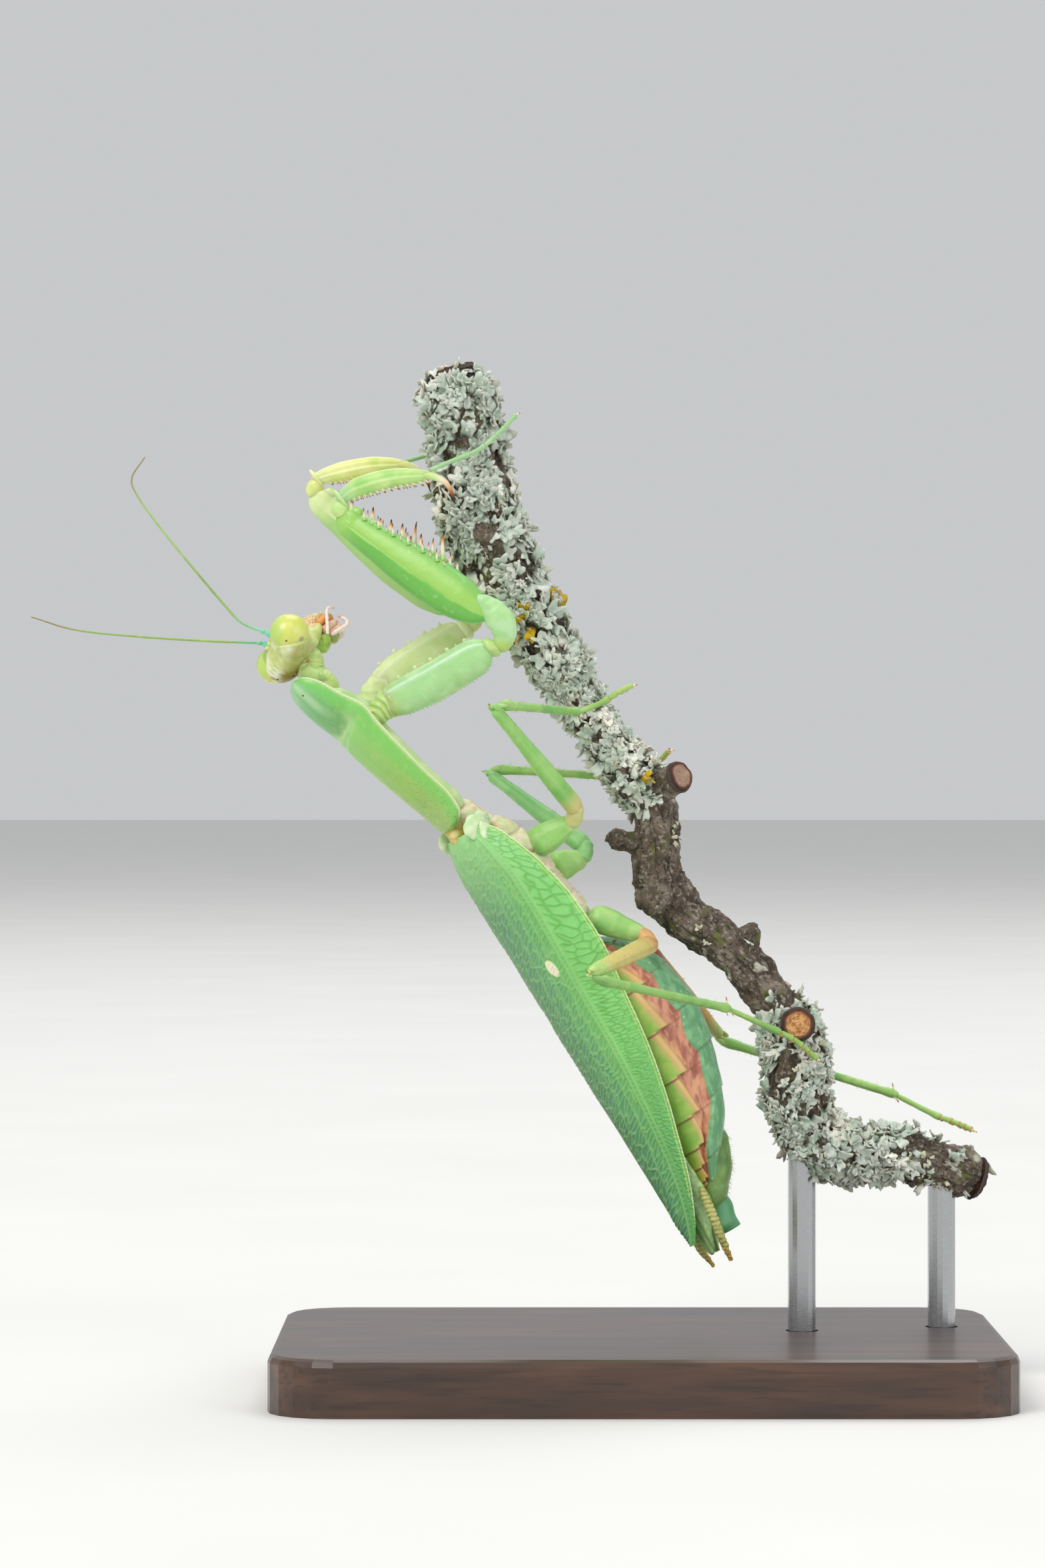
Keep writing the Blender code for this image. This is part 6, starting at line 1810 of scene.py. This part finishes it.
def area_light(name, place, size, watts, colour):
    lamp = bpy.data.lights.new(name, "AREA")
    lamp.shape = "DISK"
    lamp.size = size
    lamp.energy = watts
    lamp.color = colour
    obj = bpy.data.objects.new(name, lamp)
    bpy.context.scene.collection.objects.link(obj)
    obj.location = place
    aim = np.subtract(MIDDLE, place)
    obj.rotation_euler = (math.atan2(math.hypot(aim[0], aim[1]), -aim[2]), 0.0,
                          math.atan2(aim[1], aim[0]) - math.pi / 2)


def build_studio():
    scene = bpy.context.scene
    eye = bpy.data.cameras.new("camera")
    eye.lens = CAMERA_LENS
    eye.sensor_width = 36.0
    eye.clip_start = 0.01
    camera = bpy.data.objects.new("camera", eye)
    camera.location = CAMERA_PLACE
    camera.rotation_euler = (math.pi / 2, 0.0, 0.0)
    scene.collection.objects.link(camera)
    scene.camera = camera

    for light in LIGHTS:
        area_light(*light)

    world = bpy.data.worlds.new("soft_daylight")
    world.use_nodes = True
    background = world.node_tree.nodes["Background"]
    background.inputs["Color"].default_value = SKY
    background.inputs["Strength"].default_value = SKY_STRENGTH
    scene.world = world
    scene.view_settings.view_transform = "Standard"

    bpy.ops.mesh.primitive_circle_add(vertices=96, radius=9.0, fill_type="NGON")
    floor = bpy.context.active_object
    floor.name = "floor"
    paper = Finish("floor_paper", 0.9)
    paper.colour = paper.blend(paper.noise(60.0, 2.0), (226, 225, 222), (234, 233, 230))
    floor.data.materials.append(paper.done(paper.noise(1.5), 0.02))


def make_finishes():
    return {
        "wing": wing_finish(),
        "hindwing": hindwing_finish(),
        "pronotum": pronotum_finish(),
        "abdomen": abdomen_finish(),
        "thorax": thorax_finish(),
        "underside": cuticle("underside_skin", (190, 220, 152), (210, 230, 176), (166, 208, 134)),
        "tail": cuticle("tail_plate_skin", (112, 150, 78), (136, 172, 98), (90, 128, 64)),
        "valve": cuticle("valve_skin", (100, 166, 116), (126, 184, 128), (86, 150, 102)),
        "cercus": cuticle("cercus_skin", (190, 190, 110), (206, 204, 130), (160, 160, 80),
                          edge=(130, 130, 70), end=(196, 150, 60), roughness=0.55),
        "head": head_finish(),
        "eye": eye_finish(),
        "mouth": mouth_finish(),
        "neck": neck_finish(),
        "feeler": cuticle("feeler_skin", (150, 176, 96), (166, 190, 110), (128, 156, 84), edge=(120, 140, 70),
                          foot=(122, 208, 178), end=(150, 120, 80)),
        "foreleg_r": cuticle("near_foreleg_skin", (164, 212, 142), (188, 224, 162), (142, 202, 114),
                             foot=(182, 210, 116), edge=(208, 232, 206), spots=(186, 222, 160)),
        "shin_r": cuticle("near_fore_shin_skin", (184, 220, 132), (204, 230, 150), (156, 208, 112),
                          foot=(172, 216, 156), edge=(220, 232, 176)),
        "foreleg_l": cuticle("far_foreleg_skin", (212, 226, 158), (226, 236, 182), (194, 218, 136),
                             edge=(228, 236, 196)),
        "shin_l": cuticle("far_fore_shin_skin", (226, 230, 140), (236, 236, 168), (200, 218, 116),
                          foot=(220, 230, 164), edge=(236, 238, 190)),
        "femur_r": femur_finish("near_femur_skin", (126, 190, 92), (156, 204, 98), (110, 184, 78),
                                (126, 194, 130)),
        "femur_l": femur_finish("far_femur_skin", (196, 220, 148), (216, 230, 168), (172, 212, 128),
                                (164, 210, 156)),
        "foot_fore": cuticle("fore_foot_skin", (156, 198, 142), (178, 208, 164), (132, 186, 120),
                             edge=(190, 214, 170)),
        "tarsus": cuticle("foot_skin", (148, 188, 96), (166, 200, 112), (124, 172, 88), edge=(222, 152, 80)),
        "leg": cuticle("leg_skin", (146, 194, 102), (172, 208, 122), (118, 178, 92), edge=(184, 214, 146)),
        "coxa": cuticle("hip_skin", (152, 204, 112), (178, 216, 134), (130, 190, 100), edge=(226, 206, 150)),
        "femur_mid_r": cuticle("mid_thigh_skin", (142, 200, 104), (160, 208, 116), (120, 190, 92),
                               foot=(214, 200, 130), edge=(176, 214, 140)),
        "femur_mid_l": cuticle("far_mid_thigh_skin", (130, 194, 116), (150, 204, 128), (112, 184, 108),
                               edge=(170, 214, 150)),
        "femur_hind_r": cuticle("hind_thigh_skin", (212, 196, 112), (224, 206, 136), (190, 194, 100),
                                foot=(214, 150, 90), end=(172, 214, 118), edge=(222, 206, 144)),
        "femur_hind_l": cuticle("far_hind_thigh_skin", (196, 150, 84), (206, 168, 96), (176, 128, 70),
                                foot=(180, 110, 66), end=(170, 186, 110), edge=(214, 176, 120)),
        "hair": hair_finish(),
        "bark": bark_finish(),
        "wood": wood_finish(),
        "lichen": lichen_finish("lichen_grey", (206, 216, 204), (170, 188, 168), (236, 234, 220)),
        "lichen_bright": lichen_finish("lichen_frost", (218, 226, 216), (186, 202, 184), (240, 238, 226)),
        "lichen_pale": lichen_finish("lichen_crust", (222, 220, 196), (188, 194, 156), (240, 230, 206)),
        "lichen_yellow": lichen_finish("lichen_yellow", (206, 172, 22), (170, 140, 16), (222, 190, 50)),
        "stand_wood": stand_wood_finish(),
        "stand_steel": stand_steel_finish(),
    }


STAND = {"stand_base": "stand_wood", "stand_rod_1": "stand_steel", "stand_rod_2": "stand_steel"}


def main():
    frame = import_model()
    build_studio()
    finishes = make_finishes()
    for name, finish in STAND.items():
        slots = frame["nodes"][name].data.materials
        slots.clear()
        slots.append(finishes[finish])
    build_fore_wing("r", 1, 0.0, finishes["wing"])
    build_fore_wing("l", -1, FAR_WING_DROP, finishes["wing"])
    build_hind_wing("r", 1, -1.75, finishes["hindwing"])
    build_hind_wing("l", -1, -2.55, finishes["hindwing"])
    build_pronotum(finishes["pronotum"])
    hairs = Shape()
    build_thorax(finishes["thorax"], finishes["underside"], hairs)
    build_abdomen(finishes["abdomen"])
    build_tail(finishes, hairs)
    world = build_capsule(finishes["head"])
    build_eyes(finishes["eye"])
    build_mouth(finishes["mouth"], world)
    build_antennae(finishes["feeler"])
    build_neck(finishes["neck"])
    build_legs(finishes, hairs)
    hairs.build("fine_hairs", finishes["hair"], mapped=True)
    branch = build_bark(finishes["bark"])
    build_cut_ends(branch, finishes["wood"])
    build_lichen(branch, finishes)


main()
